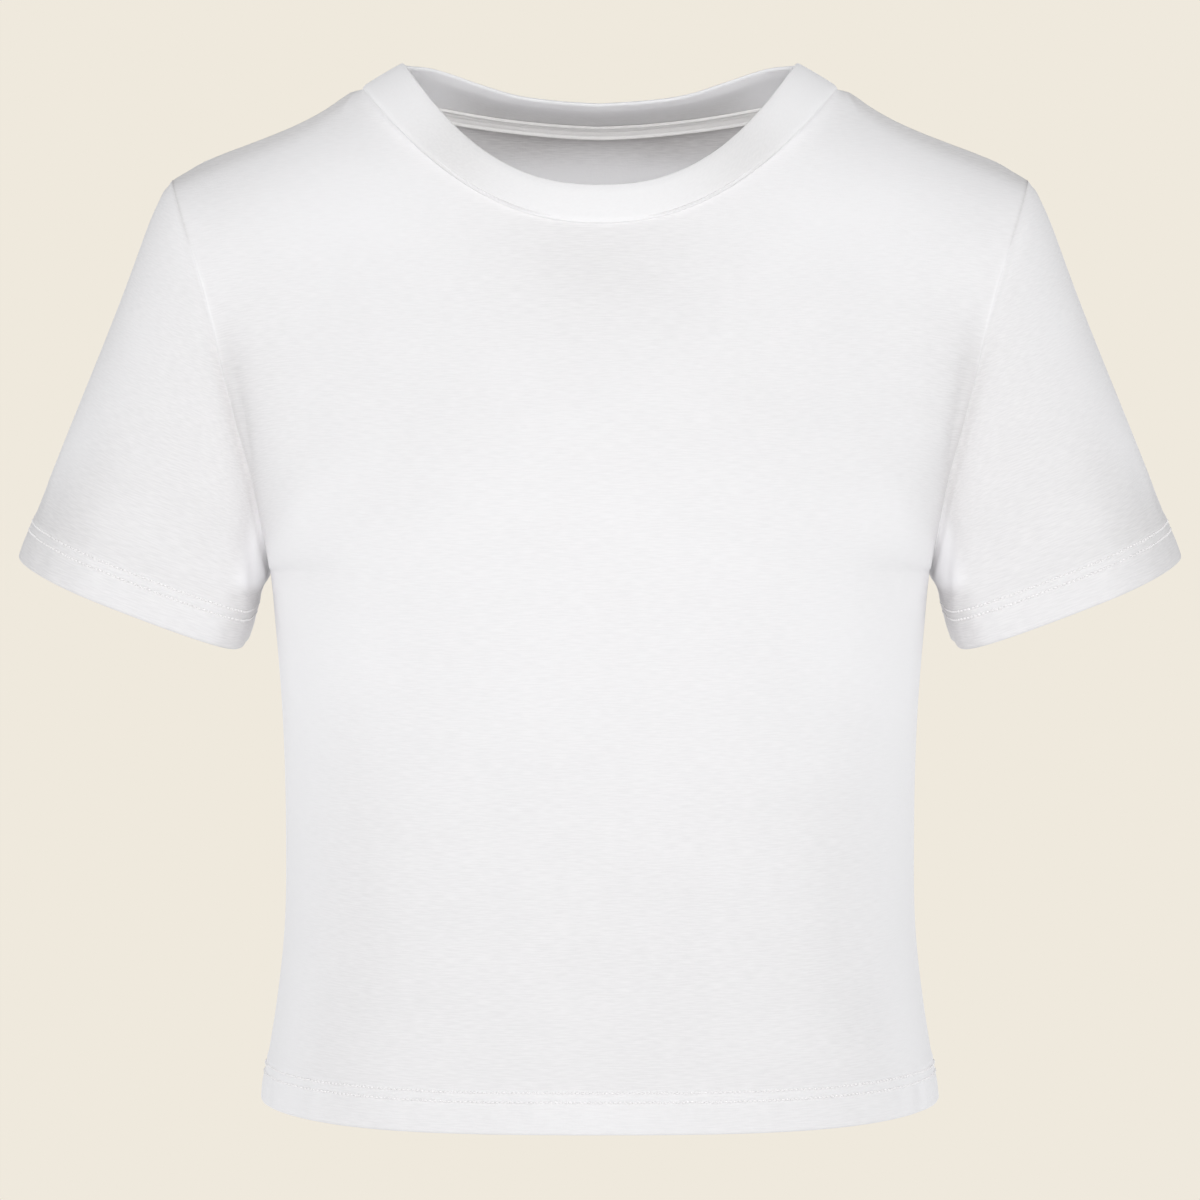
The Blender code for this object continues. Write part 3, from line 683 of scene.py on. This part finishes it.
# Painted shade on the inner skin of the back just under the neck tape, darkest towards the sides,
# rising to painted light lower down.
drop = -back_points[..., 2]
neck_shade_mask = bump(0, 0.090, back_points[..., 0]) * ease(0.10, 0.05, drop)
darkest_painted_shade = 0.9 - 0.6 * bump(0, 0.030, back_points[..., 0])
painted_neck_shading = (1 + darkest_painted_shade) * ease(0.015, 0.034, drop) - darkest_painted_shade
back_inside_painted_shade = back_painted_shade + neck_shade_mask * (painted_neck_shading - back_painted_shade)
back = add_wall("back_jersey", back_outer, back_inner, back_cloth, cotton_jersey,
                back_painted_shade, back_inside_painted_shade)
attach(back, "root")
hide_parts("back_panel")


# ---------------------------------------------------------------------------
# Sleeves. Each is one piece of jersey closed along the underarm, set into its
# armhole with an overlocked seam whose allowance is turned into the sleeve, and
# finished like the hem with one turn and a twin needle.

CUFF_CENTRE = np.array((0.2197, 0.0, -0.2400))
CUFF_SLOPE = math.radians(21.1)
CUFF_ACROSS = 0.0568
CUFF_DEEP = 0.054
CUFF_DIP = 0.0054  # the cuff's front hangs this much lower
CUFF_BOW = (0.50, 1.05)  # as on the body, at the cuff's inner and outer end
SLEEVE_CROWN = 0.0030  # how far the sleeve head swells just past its seam
CROWN_AT = 0.11
UNDER_TILT = 0.30
UNDER_TO = 0.6
STATIONS = 144
RUN_GAP = 0.0008  # from the end of its run to the first row of its hem
SLEEVE_RADIUS = 0.056  # of the tube on which its creases are laid out
SLEEVE_PAINTED_LIGHT = 0.24  # painted light on a sleeve, less than on the body, so it looks a little greyer
OUTER_PAINTED_SHADE = 0.24  # painted shade towards its outer end, low down
OUTER_PAINTED_LIGHT = 0.22  # painted light towards its outer end higher up, where its two sides fold together
INNER_PAINTED_LIGHT = 0.80  # strong painted light beside the body, which lies close behind it
UNDER_PAINTED_SHADE = 0.40  # painted shade low on the inner side, where it hangs free again
EDGE_PAINTED_LIGHT = 0.45  # painted light along the outer edge, where its two sides fold together
HEAD_PAINTED_SHADE = 0.30  # painted shade over the empty shoulder at the sleeve head, as on the body
SLEEVE_SHARES = np.concatenate(
    ((0.0, 0.0025, 0.0055, 0.009, 0.013, 0.018, 0.0235, 0.030), np.linspace(0.038, 1.0, 62))
)

# Soft creases of a sleeve, on its unrolled surface: degrees round from the shoulder
# line (front is positive) and distance above the cuff's edge at start and end, half
# width, depth.
SLEEVE_CREASES = (
    (168, 0.022, 128, 0.060, 0.0075, -0.0022),
    (172, 0.034, 136, 0.082, 0.0085, 0.0016),
    (150, 0.024, 112, 0.050, 0.0070, 0.0010),
    (118, 0.024, 96, 0.070, 0.0060, -0.0010),
    (100, 0.026, 78, 0.062, 0.0055, 0.0007),
    (84, 0.022, 70, 0.050, 0.0050, -0.0006),
    (34, 0.024, 22, 0.060, 0.0080, -0.0009),
    (14, 0.020, 8, 0.040, 0.0060, -0.0009),
    (140, 0.100, 96, 0.130, 0.0120, 0.0008),
    (62, 0.090, 44, 0.140, 0.0150, -0.0008),
    (-166, 0.022, -128, 0.058, 0.0080, -0.0024),
    (-160, 0.044, -120, 0.088, 0.0090, 0.0014),
    (-132, 0.022, -104, 0.058, 0.0065, -0.0012),
    (-92, 0.024, -70, 0.070, 0.0075, -0.0010),
    (-48, 0.080, -30, 0.140, 0.0150, -0.0009),
    (-20, 0.022, -10, 0.052, 0.0070, -0.0008),
)


def sleeve_painted_shade(climb, height, length, hem_height, drop):
    """Painted light and shade on each point of a sleeve, in part standing for the cloth behind
    it.
    """
    outward, inward = ease(0.5, 0.8, climb), ease(0.31, 0.20, climb)
    layers_and_painted_shade = SLEEVE_PAINTED_LIGHT - OUTER_PAINTED_SHADE * outward * ease(0.080, 0.02, height)
    layers_and_painted_shade += OUTER_PAINTED_LIGHT * outward * ease(0.050, 0.100, height)
    layers_and_painted_shade += INNER_PAINTED_LIGHT * inward * ease(0.024, 0.034, height)
    layers_and_painted_shade -= UNDER_PAINTED_SHADE * inward * ease(0.034, 0.024, height)
    layers_and_painted_shade += EDGE_PAINTED_LIGHT * ease(0.66, 0.86, climb) * bump(0.055, 0.027, height)
    layers_and_painted_shade -= HEAD_PAINTED_SHADE * ease(0.90, 1.00, climb) * ease(0.030, 0.0, length)
    layers_and_painted_shade += HEM_LAYER_AND_PAINTED_LIGHT * (1 - ease(*HEM_END, hem_height))
    return np.clip(layers_and_painted_shade, 0, 1) + seam_painted_shade(length, drop)


def sleeve(name, node, side, seed):
    """One sleeve, a tube from its armhole to its turned hem."""
    turn = np.arange(STATIONS) / STATIONS * 2 * np.pi
    fore = turn < np.pi
    climb = np.where(fore, 1 - turn / np.pi, turn / np.pi - 1)
    face = np.where(fore, -1, 1)
    ahead = fore[:, None]
    seam = np.where(ahead, armhole(climb, -1, side), armhole(climb, 1, side))
    seam_out = np.where(ahead, armhole_out(climb, -1, side), armhole_out(climb, 1, side))
    drop = -seam[:, 2]
    chord = armhole(np.array(1.0), -1, side) - armhole(np.array(0.0), -1, side)
    axis = unit(np.array((side * chord[2], 0.0, -side * chord[0])))
    outer_way = np.array((side * math.cos(CUFF_SLOPE), 0, math.sin(CUFF_SLOPE)))
    front_way = np.array((0, CUFF_DEEP, CUFF_DIP))
    bow = CUFF_BOW[0] + (CUFF_BOW[1] - CUFF_BOW[0]) * (1 + np.cos(turn)) / 2
    wide, deep = (np.sign(v) * np.abs(v) ** bow for v in (np.cos(turn), np.sin(turn)))
    cuff = CUFF_CENTRE * (side, 1, 1) + outer_way * CUFF_ACROSS * wide[:, None]
    cuff = cuff - front_way * deep[:, None]
    tilt = UNDER_TILT + (math.tan(CUFF_SLOPE) - UNDER_TILT) * ease(0, UNDER_TO, climb)
    down = unit(np.stack((side * tilt, 0 * tilt, 0 * tilt - 1), -1))
    heights = np.array(HEM_ROWS)
    hem_top = cuff - down * (heights[-1] + RUN_GAP)
    leave = hem_top - seam
    arrive = down * np.linalg.norm(leave, axis=-1, keepdims=True)
    t = SLEEVE_SHARES[:, None, None]
    run = hermite(seam, leave, hem_top, arrive, t)
    swell = SLEEVE_CROWN * np.sin(climb * np.pi / 2)[:, None]
    run = run + axis * swell * t / CROWN_AT * np.exp(1 - t / CROWN_AT)
    hem = cuff - down * heights[::-1, None, None]
    points = np.concatenate((run, hem))
    around = np.roll(points, -1, axis=1) - np.roll(points, 1, axis=1)
    out = unit(np.cross(around, np.gradient(points, axis=0)))
    centre = points.mean(axis=1, keepdims=True)
    out *= np.sign(((points - centre) * out).sum())
    length = along(points, 0)
    near = bump(0, EDGE_TURN, length)[..., None]
    out = unit(out + near * (seam_out[None] - out))
    height = length[-1:] - length
    degrees = np.degrees(np.where(fore, turn, turn - 2 * np.pi))
    round_way = np.radians(degrees)[None, :] * SLEEVE_RADIUS
    here = np.stack(np.broadcast_arrays(round_way, height), -1)
    laid_out = [
        (math.radians(a) * SLEEVE_RADIUS, up_a, math.radians(b) * SLEEVE_RADIUS, up_b, *size)
        for a, up_a, b, up_b, *size in SLEEVE_CREASES
    ]
    relief = crease_relief(here, laid_out) * ease(0.0010, 0.016, length)
    under = np.abs(np.abs(degrees) - 180)[None, :] / 180 * np.pi * SLEEVE_RADIUS
    relief -= 0.0005 * bump(0, 0.0016, under)
    welt = welt_height(drop) + 0.0003 * ease(0.130, 0.150, drop)
    relief += welt * bump(0, 0.0013, length) - 0.0002 * bump(0.0034, 0.0012, length)
    relief += 0.00035 * bump(0.0070, 0.0030, length)
    relief -= seam_valley(drop) * bump(0, 0.0075, length)
    place = np.concatenate((along(points, 1), along(points, 1)[:, -1:]), axis=1)
    place[:, -1] += np.linalg.norm(points[:, 0] - points[:, -1], axis=-1)
    hem_height = np.where(np.arange(len(points))[:, None] >= len(run), height, 1.0)
    relief += hem_relief(hem_height, place[-1:, :-1] + 0 * height, seed)
    surface = points + out * relief[..., None]
    outer, inner = hem_walls(surface, out, hem_height)
    tall = np.concatenate((height, height[:, :1]), axis=1)
    cloth = np.stack((place, tall), -1)
    layers_and_painted_shade = sleeve_painted_shade(climb, height, length, hem_height, drop)
    piece = add_wall(name, outer, inner, cloth, cotton_jersey, layers_and_painted_shade, layers_and_painted_shade, wrap=True)
    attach(piece, "root")
    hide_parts(node)
    return outer[len(run):][::-1], out[len(run):][::-1]


left_cuff = sleeve("sleeve_jersey_left", "sleeve_left", 1, seed=5)
right_cuff = sleeve("sleeve_jersey_right", "sleeve_right", -1, seed=9)


# ---------------------------------------------------------------------------
# Neckband. A strip of fine cotton rib, folded lengthwise and sewn by its two raw
# edges all round the neck, a little stretched, so it stands up smooth. Its fold is
# the round free edge, and its double layer stands proud of the panels.

EDGE_HALF = 0.0926
EDGE_FRONT = 0.079
EDGE_BACK = 0.048
EDGE_SIDE_RISE = 0.0130
EDGE_FRONT_DROP = 0.0514
EDGE_FRONT_SCOOP = 2.38
BAND_CLOTH = 0.0024
BAND_PROUD = 0.0005
BAND_STATIONS = 300

# The back of the free edge: share of the way from centre to side, rise.
BACK_EDGE = (
    (0.00, 0.0000),
    (0.22, 0.0012),
    (0.47, 0.0042),
    (0.63, 0.0083),
    (0.80, 0.0128),
    (0.87, 0.0140),
    (0.94, 0.0139),
    (1.00, 0.0130),
)


def neck_edge(turn):
    """Points of the neckband's folded free edge."""
    front = turn <= 0
    x = EDGE_HALF * np.cos(turn)
    share = np.abs(x) / EDGE_HALF
    y = NECK_POINT_Y + np.where(front, EDGE_FRONT, EDGE_BACK) * np.sin(turn)
    rise = (EDGE_SIDE_RISE + EDGE_FRONT_DROP) * share**EDGE_FRONT_SCOOP - EDGE_FRONT_DROP
    return np.stack((x, y, np.where(front, rise, read_table(BACK_EDGE, 1, share))), -1)


def neck_frame(turn):
    """Across the band from seam to edge, and square out of its face."""
    lift = unit(neck_edge(turn) - neck_seam(turn))
    small = 0.01
    run = neck_seam(turn + small) - neck_seam(turn - small)
    return lift, unit(np.cross(run, lift))


turn = np.linspace(-np.pi, np.pi, BAND_STATIONS, endpoint=False)
turn = np.where(np.abs(turn) < 1e-6, 1e-6, turn)
lift, band_out = neck_frame(turn)
seam = neck_seam(turn)
width = np.linalg.norm(neck_edge(turn) - seam, axis=-1)
chance = np.random.default_rng(31)
uneven = np.zeros(BAND_STATIONS)
for wave in range(9, 40, 3):
    uneven += chance.uniform(0.2, 1.0) / wave * np.sin(wave * turn + chance.uniform(0, 6))
layer = BAND_CLOTH / 2
outside = np.array(
    (0.0, 0.002, 0.005, 0.01, 0.02, 0.05, 0.09, 0.15, 0.25, 0.38, 0.52, 0.66, 0.78, 0.88)
)
at_side = bump(0, 0.35, np.sin(turn))
fold = np.radians((0, 22, 45, 68, 90, 112, 135, 158, 180))
rows = []
for share in outside:
    dip = 0.0005 * bump(0, 0.004, share) + 0.0007 * bump(0, 0.06, share)
    dip -= 0.0006 - 0.0005 * at_side + 0.0002 * bump(0.45, 0.35, share)
    up = share * (width - layer)
    rows.append((up, BAND_PROUD - dip + 0.0006 * uneven * share))
for angle in fold:
    up = width - layer + layer * math.sin(angle)
    rows.append((up, BAND_PROUD - layer + layer * math.cos(angle) + 0.0006 * uneven))
for share in outside[::-1]:
    up = share * (width - layer)
    roll = 0.0007 * bump(0.84, 0.13, share) * (1 - at_side)
    rows.append((up, BAND_PROUD - BAND_CLOTH - roll))
profile = [seam + lift * up[:, None] + band_out * away[:, None] for up, away in rows]
half = len(profile) // 2 + 1
band_outer = np.array(profile[:half])
band_inner = np.array(profile[: half - 2 : -1])
gap = along(band_outer, 0)
place = along(band_outer, 1)
place = np.concatenate((place, place[:, -1:] + (place[:, -1:] - place[:, -2:-1])), axis=1)
gap = np.concatenate((gap, gap[:, :1]), axis=1)
cotton_rib = knit_cotton("bleached_cotton_rib", light="#e2e0df", dark="#dad8d7",
                         wale=0.0012, slub=(0.0018, 0.0011), sheen=0.04)
# Painted light and shade on the rib: outside whiter, less so round the front, more at the sides;
# inside painted shade down by the seam, painted light towards the fold and at the sides.
up_band = gap[:, :-1] / gap[-1:, :-1]
ahead = np.abs(np.sin(turn)) * (turn < 0)
band_painted_shade = 0.76 - 0.36 * bump(0.76, 0.14, ahead) + 0.24 * at_side
band_painted_shade = np.broadcast_to(band_painted_shade, up_band.shape)
painted_light_near_side = ease(0.90, 0.60, np.abs(np.sin(turn)))
band_inside_painted_shade = 0.20 + 0.80 * np.maximum(ease(0.35, 0.85, up_band), painted_light_near_side)
band = add_wall("neckband_rib", band_outer, band_inner, np.stack((place, gap), -1), cotton_rib,
                band_painted_shade, band_inside_painted_shade, wrap=True)
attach(band, "root")
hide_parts("neckband")


# ---------------------------------------------------------------------------
# Neck tape. A narrow strip of the same jersey, its two edges turned under, that
# covers the overlocked back neck seam inside, almost between the shoulders. It is held
# by a row of stitches close to each edge, which leaves a fine bead along both.

TAPE_ABOVE = 0.0030
TAPE_BELOW = 0.0048
TAPE_CLOTH = 0.0009
TAPE_REACH = 0.51  # share of the way from the centre to the shoulder tip
TAPE_COLUMNS = 160
TAPE_ROWS = 25
TAPE_GAP = 0.0003  # clear of the cloth it lies on
TAPE_BRIDGE = 0.0012  # to each side of the seam, where it passes from panel to band
TAPE_PUFF = 0.0020  # how far its lower edge stands out

tape_across = np.linspace(-TAPE_REACH, TAPE_REACH, TAPE_COLUMNS)
tape_turn = neck_turn(tape_across, 1)
lift, tape_out = neck_frame(tape_turn)
tape_seam = neck_seam(tape_turn)
tape_fall = upper_panel(tape_across, np.array((0.97, 1.0)), 1, BACK_LEAN)
fall = unit(tape_fall[0] - tape_fall[1])
seam_way = unit(np.gradient(tape_seam, axis=0))
wall_in = unit(np.cross(fall, seam_way))
wall_in *= np.sign((wall_in * -tape_out).sum(-1, keepdims=True))
tape_rows = []
for up in np.linspace(TAPE_ABOVE, -TAPE_BELOW, TAPE_ROWS):
    blend = float(ease(-TAPE_BRIDGE, TAPE_BRIDGE, up))
    edge_gap = min(TAPE_ABOVE - up, up + TAPE_BELOW)
    bead = 0.00045 * bump(0.0005, 0.0006, edge_gap) - 0.00025 * bump(0.0016, 0.0005, edge_gap)
    bead += TAPE_PUFF * (TAPE_ABOVE - up) / (TAPE_ABOVE + TAPE_BELOW)
    above = tape_seam + lift * up - tape_out * (BAND_CLOTH - BAND_PROUD)
    below = tape_seam + fall * -up + wall_in * CLOTH
    middle = above * blend + below * (1 - blend)
    way = unit(-tape_out * blend + wall_in * (1 - blend))
    front_way = way * (TAPE_GAP + TAPE_CLOTH + bead)
    tape_rows.append((middle + way * TAPE_GAP, middle + front_way))
tape_back = np.array([row[0] for row in tape_rows])
tape_front = np.array([row[1] for row in tape_rows])
tape_cloth = np.stack((along(tape_front, 1), along(tape_front, 0)), -1)
# Painted light: the tape is the same jersey, coloured whiter than the body so it looks lit inside
# the neck.
cotton_tape_painted_light = knit_cotton("bleached_cotton_tape_painted_lighter", light="#fffdfb", dark="#faf8f6",
                          wale=0.0010, slub=(0.0050, 0.0012), sheen=0.04)
tape_painted_shade = np.zeros(tape_front.shape[:2])
tape = add_wall("neck_tape_jersey", tape_front, tape_back, tape_cloth, cotton_tape_painted_light,
                tape_painted_shade, tape_painted_shade)
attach(tape, "root")
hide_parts("neck_tape")


# ---------------------------------------------------------------------------
# Sewing. White polyester thread in a twin-needle stitch, two rows round the hem and
# round each cuff. Each stitch is a short raised thread, and between two stitches it
# dives into the cloth; the shade of that small pit is painted, as a flat darker disc
# just clear of the cloth.

STITCH_PITCH = 0.0022
STITCH_LENGTH = 0.0017
THREAD = 0.00052  # radius, drawn thicker than real to show, flattened into the cloth
FLATTENED = 0.8
ARCH = 0.00020  # how far a stitch's middle rises
RING = 6  # points round a thread or a pit
PIT = 0.00027  # radius
PIT_WIDE = 1.2
PIT_LIFT = 0.00006  # clear of the cloth
STITCH_WANDER = 0.00018
SEAM_CLEAR = 0.0025  # the hem's rows stop this far from the side seams

polyester_thread, tree, shader = new_material("white_polyester_thread")
shader.inputs["Sheen Weight"].default_value = 0.1
shader.inputs["IOR"].default_value = 1.55
twist_at = add_node(tree, "TexCoord").outputs["Object"]
twist = add_node(tree, "TexNoise", {"Vector": twist_at}, Scale=2500.0,
                 Detail=1.0).outputs["Fac"]
colour = add_node(tree, "Mix",
                  {"Factor": twist, 6: linear("#f6f4f4"), 7: linear("#fcfafa")},
                  {"data_type": "RGBA"})
tree.links.new(colour.outputs[2], shader.inputs["Base Color"])
rough = add_node(tree, "MapRange", {"Value": twist}, To_Min=0.5, To_Max=0.65)
tree.links.new(rough.outputs[0], shader.inputs["Roughness"])
plies = add_node(tree, "Bump", {"Height": twist}, Strength=0.4, Distance=0.0001)
tree.links.new(plies.outputs[0], shader.inputs["Normal"])

# Painted shade: flat discs a little darker than the cloth stand for the shade in each needle pit.
painted_pit_shade, tree, shader = new_material("painted_shade_in_needle_pit")
pit_at = add_node(tree, "TexCoord").outputs["Object"]
pit_mark = add_node(tree, "TexNoise", {"Vector": pit_at}, Scale=900.0).outputs["Fac"]
colour = add_node(tree, "Mix",
                  {"Factor": pit_mark, 6: linear("#d9d7d6"), 7: linear("#e6e4e3")},
                  {"data_type": "RGBA"})
tree.links.new(colour.outputs[2], shader.inputs["Base Color"])
shader.inputs["Roughness"].default_value = 1.0


def read_line(values, length, at):
    """Points or directions along a line, read at lengths from its start."""
    return np.stack([np.interp(at, length, values[:, k]) for k in range(3)], -1)


def sewn_row(line, out, closed, chance):
    """Vertices and faces of the stitches, then of the flat darker pit discs (painted shade),
    along one needle row.
    """
    if closed:
        line = np.concatenate((line, line[:1]))
        out = np.concatenate((out, out[:1]))
    length = along(line, 0)
    ends = 0.0 if closed else SEAM_CLEAR
    count = int((length[-1] - 2 * ends) / STITCH_PITCH)
    centres = ends + (np.arange(count) + 0.5) * (length[-1] - 2 * ends) / count
    centres += chance.uniform(-0.14, 0.14, count) * STITCH_PITCH
    wander = np.cumsum(chance.normal(0, 1, count))
    wander = STITCH_WANDER * np.sin(wander * 0.35)
    ring = np.arange(RING) / RING * 2 * np.pi
    spots = np.linspace(-1, 1, 6)
    thread_points, thread_faces, pit_points, pit_faces = [], [], [], []
    for centre, aside in zip(centres, wander):
        reach = STITCH_LENGTH / 2 * chance.uniform(0.85, 1.08)
        at = np.clip(centre + spots * reach, 0, length[-1])
        spine = read_line(line, length, at)
        normal = unit(read_line(out, length, at))
        way = unit(np.gradient(spine, axis=0))
        wide = np.cross(way, normal)
        swell = np.sqrt(np.clip(1.04 - spots**4, 0, 1))
        arch = ARCH * (1 - spots**2)
        base = len(thread_points)
        for k in range(len(spots)):
            middle = spine[k] + normal[k] * arch[k] + wide[k] * aside
            for angle in ring:
                away = wide[k] * math.cos(angle) + normal[k] * math.sin(angle) * FLATTENED
                thread_points.append(middle + away * THREAD * swell[k])
        for k in range(len(spots) - 1):
            for m in range(RING):
                n = (m + 1) % RING
                a, b = base + k * RING, base + (k + 1) * RING
                thread_faces.append((a + m, a + n, b + n, b + m))
        last = base + (len(spots) - 1) * RING
        thread_faces.append(tuple(base + m for m in reversed(range(RING))))
        thread_faces.append(tuple(last + m for m in range(RING)))
        at = centre + STITCH_PITCH / 2
        if at < length[-1]:
            spot = read_line(line, length, at) + wide[-1] * aside
            size = PIT * chance.uniform(0.6, 1.15)
            up = unit(read_line(out, length, at))
            base = len(pit_points)
            for angle in ring:
                away = way[-1] * math.cos(angle) + wide[-1] * math.sin(angle) * PIT_WIDE
                pit_points.append(spot + up * PIT_LIFT + away * size)
            pit_faces.append(tuple(base + m for m in range(RING)))
    return thread_points, thread_faces, pit_points, pit_faces


def sew(name, rows, seed):
    """One piece of sewing from several needle rows."""
    points, faces, kinds = [], [], []
    chance = np.random.default_rng(seed)
    for line, out, closed in rows:
        threads, thread_faces, pits, pit_faces = sewn_row(line, out, closed, chance)
        for more, more_faces, kind in ((threads, thread_faces, 0), (pits, pit_faces, 1)):
            base = len(points)
            points += more
            faces += [tuple(base + v for v in face) for face in more_faces]
            kinds += [kind] * len(more_faces)
    mesh = bpy.data.meshes.new(name)
    mesh.from_pydata([tuple(p) for p in points], [], faces)
    mesh.materials.append(polyester_thread)
    mesh.materials.append(painted_pit_shade)
    mesh.polygons.foreach_set("material_index", kinds)
    mesh.shade_smooth()
    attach(add_object(name, mesh), "root")


needle_lines = [HEM_ROWS.index(height) for height in NEEDLE_ROWS]
sew("hem_sewing_front", [(front_outer[i], front_out[i], False) for i in needle_lines], 41)
sew("hem_sewing_back", [(back_outer[i], back_out[i], False) for i in needle_lines], 42)
sew("cuff_sewing_left", [(left_cuff[0][i], left_cuff[1][i], True) for i in needle_lines], 43)
sew("cuff_sewing_right", [(right_cuff[0][i], right_cuff[1][i], True) for i in needle_lines], 44)


# ---------------------------------------------------------------------------
# Studio. A seamless sweep of cream paper stands far round the shirt, floor and wall
# in one, and takes no part in its light. The camera is level with the chest.

cream_paper, tree, shader = new_material("cream_paper_sweep")
tree.nodes.remove(shader)
glow = add_node(tree, "Emission", Strength=1.0, Color=linear("#efe9dd"))
tree.links.new(glow.outputs[0], tree.nodes["Material Output"].inputs["Surface"])

SWEEP_SIDES = 48
sweep_turns = np.arange(SWEEP_SIDES) / SWEEP_SIDES * 2 * np.pi
sweep_rows = [(5.0, -4.5), (7.5, -4.0), (8.6, -2.0), (9.0, 1.5), (8.0, 5.0), (5.0, 8.0)]
sweep_points = [(r * math.cos(a), r * math.sin(a), z) for r, z in sweep_rows for a in sweep_turns]
sweep_faces = []
for base in range(0, (len(sweep_rows) - 1) * SWEEP_SIDES, SWEEP_SIDES):
    for m in range(SWEEP_SIDES):
        n = (m + 1) % SWEEP_SIDES
        sweep_faces.append((base + m, base + n, base + SWEEP_SIDES + n, base + SWEEP_SIDES + m))
sweep_faces.append(tuple(reversed(range(SWEEP_SIDES))))
sweep_faces.append(tuple(range(len(sweep_points) - SWEEP_SIDES, len(sweep_points))))
mesh = bpy.data.meshes.new("paper_sweep")
mesh.from_pydata(sweep_points, [], sweep_faces)
mesh.materials.append(cream_paper)
sweep = add_object("paper_sweep", mesh)
for ray in ("diffuse", "glossy", "transmission", "shadow"):
    setattr(sweep, "visible_" + ray, False)

# The air: white walls and floor all round give even, soft light, under a dark ceiling.
scene = bpy.context.scene
world = bpy.data.worlds.new("studio_air")
scene.world = world
world.use_nodes = True
tree = world.node_tree
air = tree.nodes["Background"]
air.inputs["Color"].default_value = linear("#fcfdfe")
look = add_node(tree, "TexCoord").outputs["Generated"]
look = add_node(tree, "SeparateXYZ", {0: look}).outputs
dim = add_node(tree, "MapRange", {"Value": look["Z"]}, {"interpolation_type": "SMOOTHSTEP"},
               From_Min=0.48, From_Max=0.70, To_Min=0.80, To_Max=0.08)
tree.links.new(dim.outputs[0], air.inputs["Strength"])

# Soft boxes: name, place, aim, width, height, watts.
SOFT_BOXES = (
    ("front_soft_box", (0.0, -3.2, -0.24), (0.0, 0.0, -0.25), 2.2, 2.0, 9.0),
    ("high_soft_box", (0.0, -3.0, 1.10), (0.0, 0.0, -0.25), 2.2, 2.0, 18.0),
    ("top_soft_box", (0.0, -2.2, 2.40), (0.0, 0.0, -0.25), 2.2, 2.0, 18.0),
    ("left_soft_box", (2.4, -1.0, 1.70), (0.0, 0.0, -0.25), 2.2, 2.0, 5.0),
    ("right_soft_box", (-2.4, -1.0, 1.70), (0.0, 0.0, -0.25), 2.2, 2.0, 5.0),
    ("back_soft_box", (0.0, 3.2, -0.2), (0.0, 0.0, -0.2), 2.6, 2.0, 26.0),
)
for name, place, aim, wide, tall, watts in SOFT_BOXES:
    light = bpy.data.lights.new(name, "AREA")
    light.shape = "RECTANGLE"
    light.size = wide
    light.size_y = tall
    light.energy = watts
    box = add_object(name, light)
    box.location = place
    box.rotation_mode = "QUATERNION"
    box.rotation_quaternion = Vector(np.subtract(aim, place)).to_track_quat("-Z", "Y")
    box.visible_camera = False

lens = bpy.data.cameras.new("camera")
lens.sensor_width = 36.0
lens.lens = 127.66
camera = add_object("camera", lens)
camera.location = (0.0, -2.0, -0.240)
camera.rotation_euler = (math.pi / 2, 0.0, 0.0)
scene.camera = camera
scene.view_settings.view_transform = "Standard"
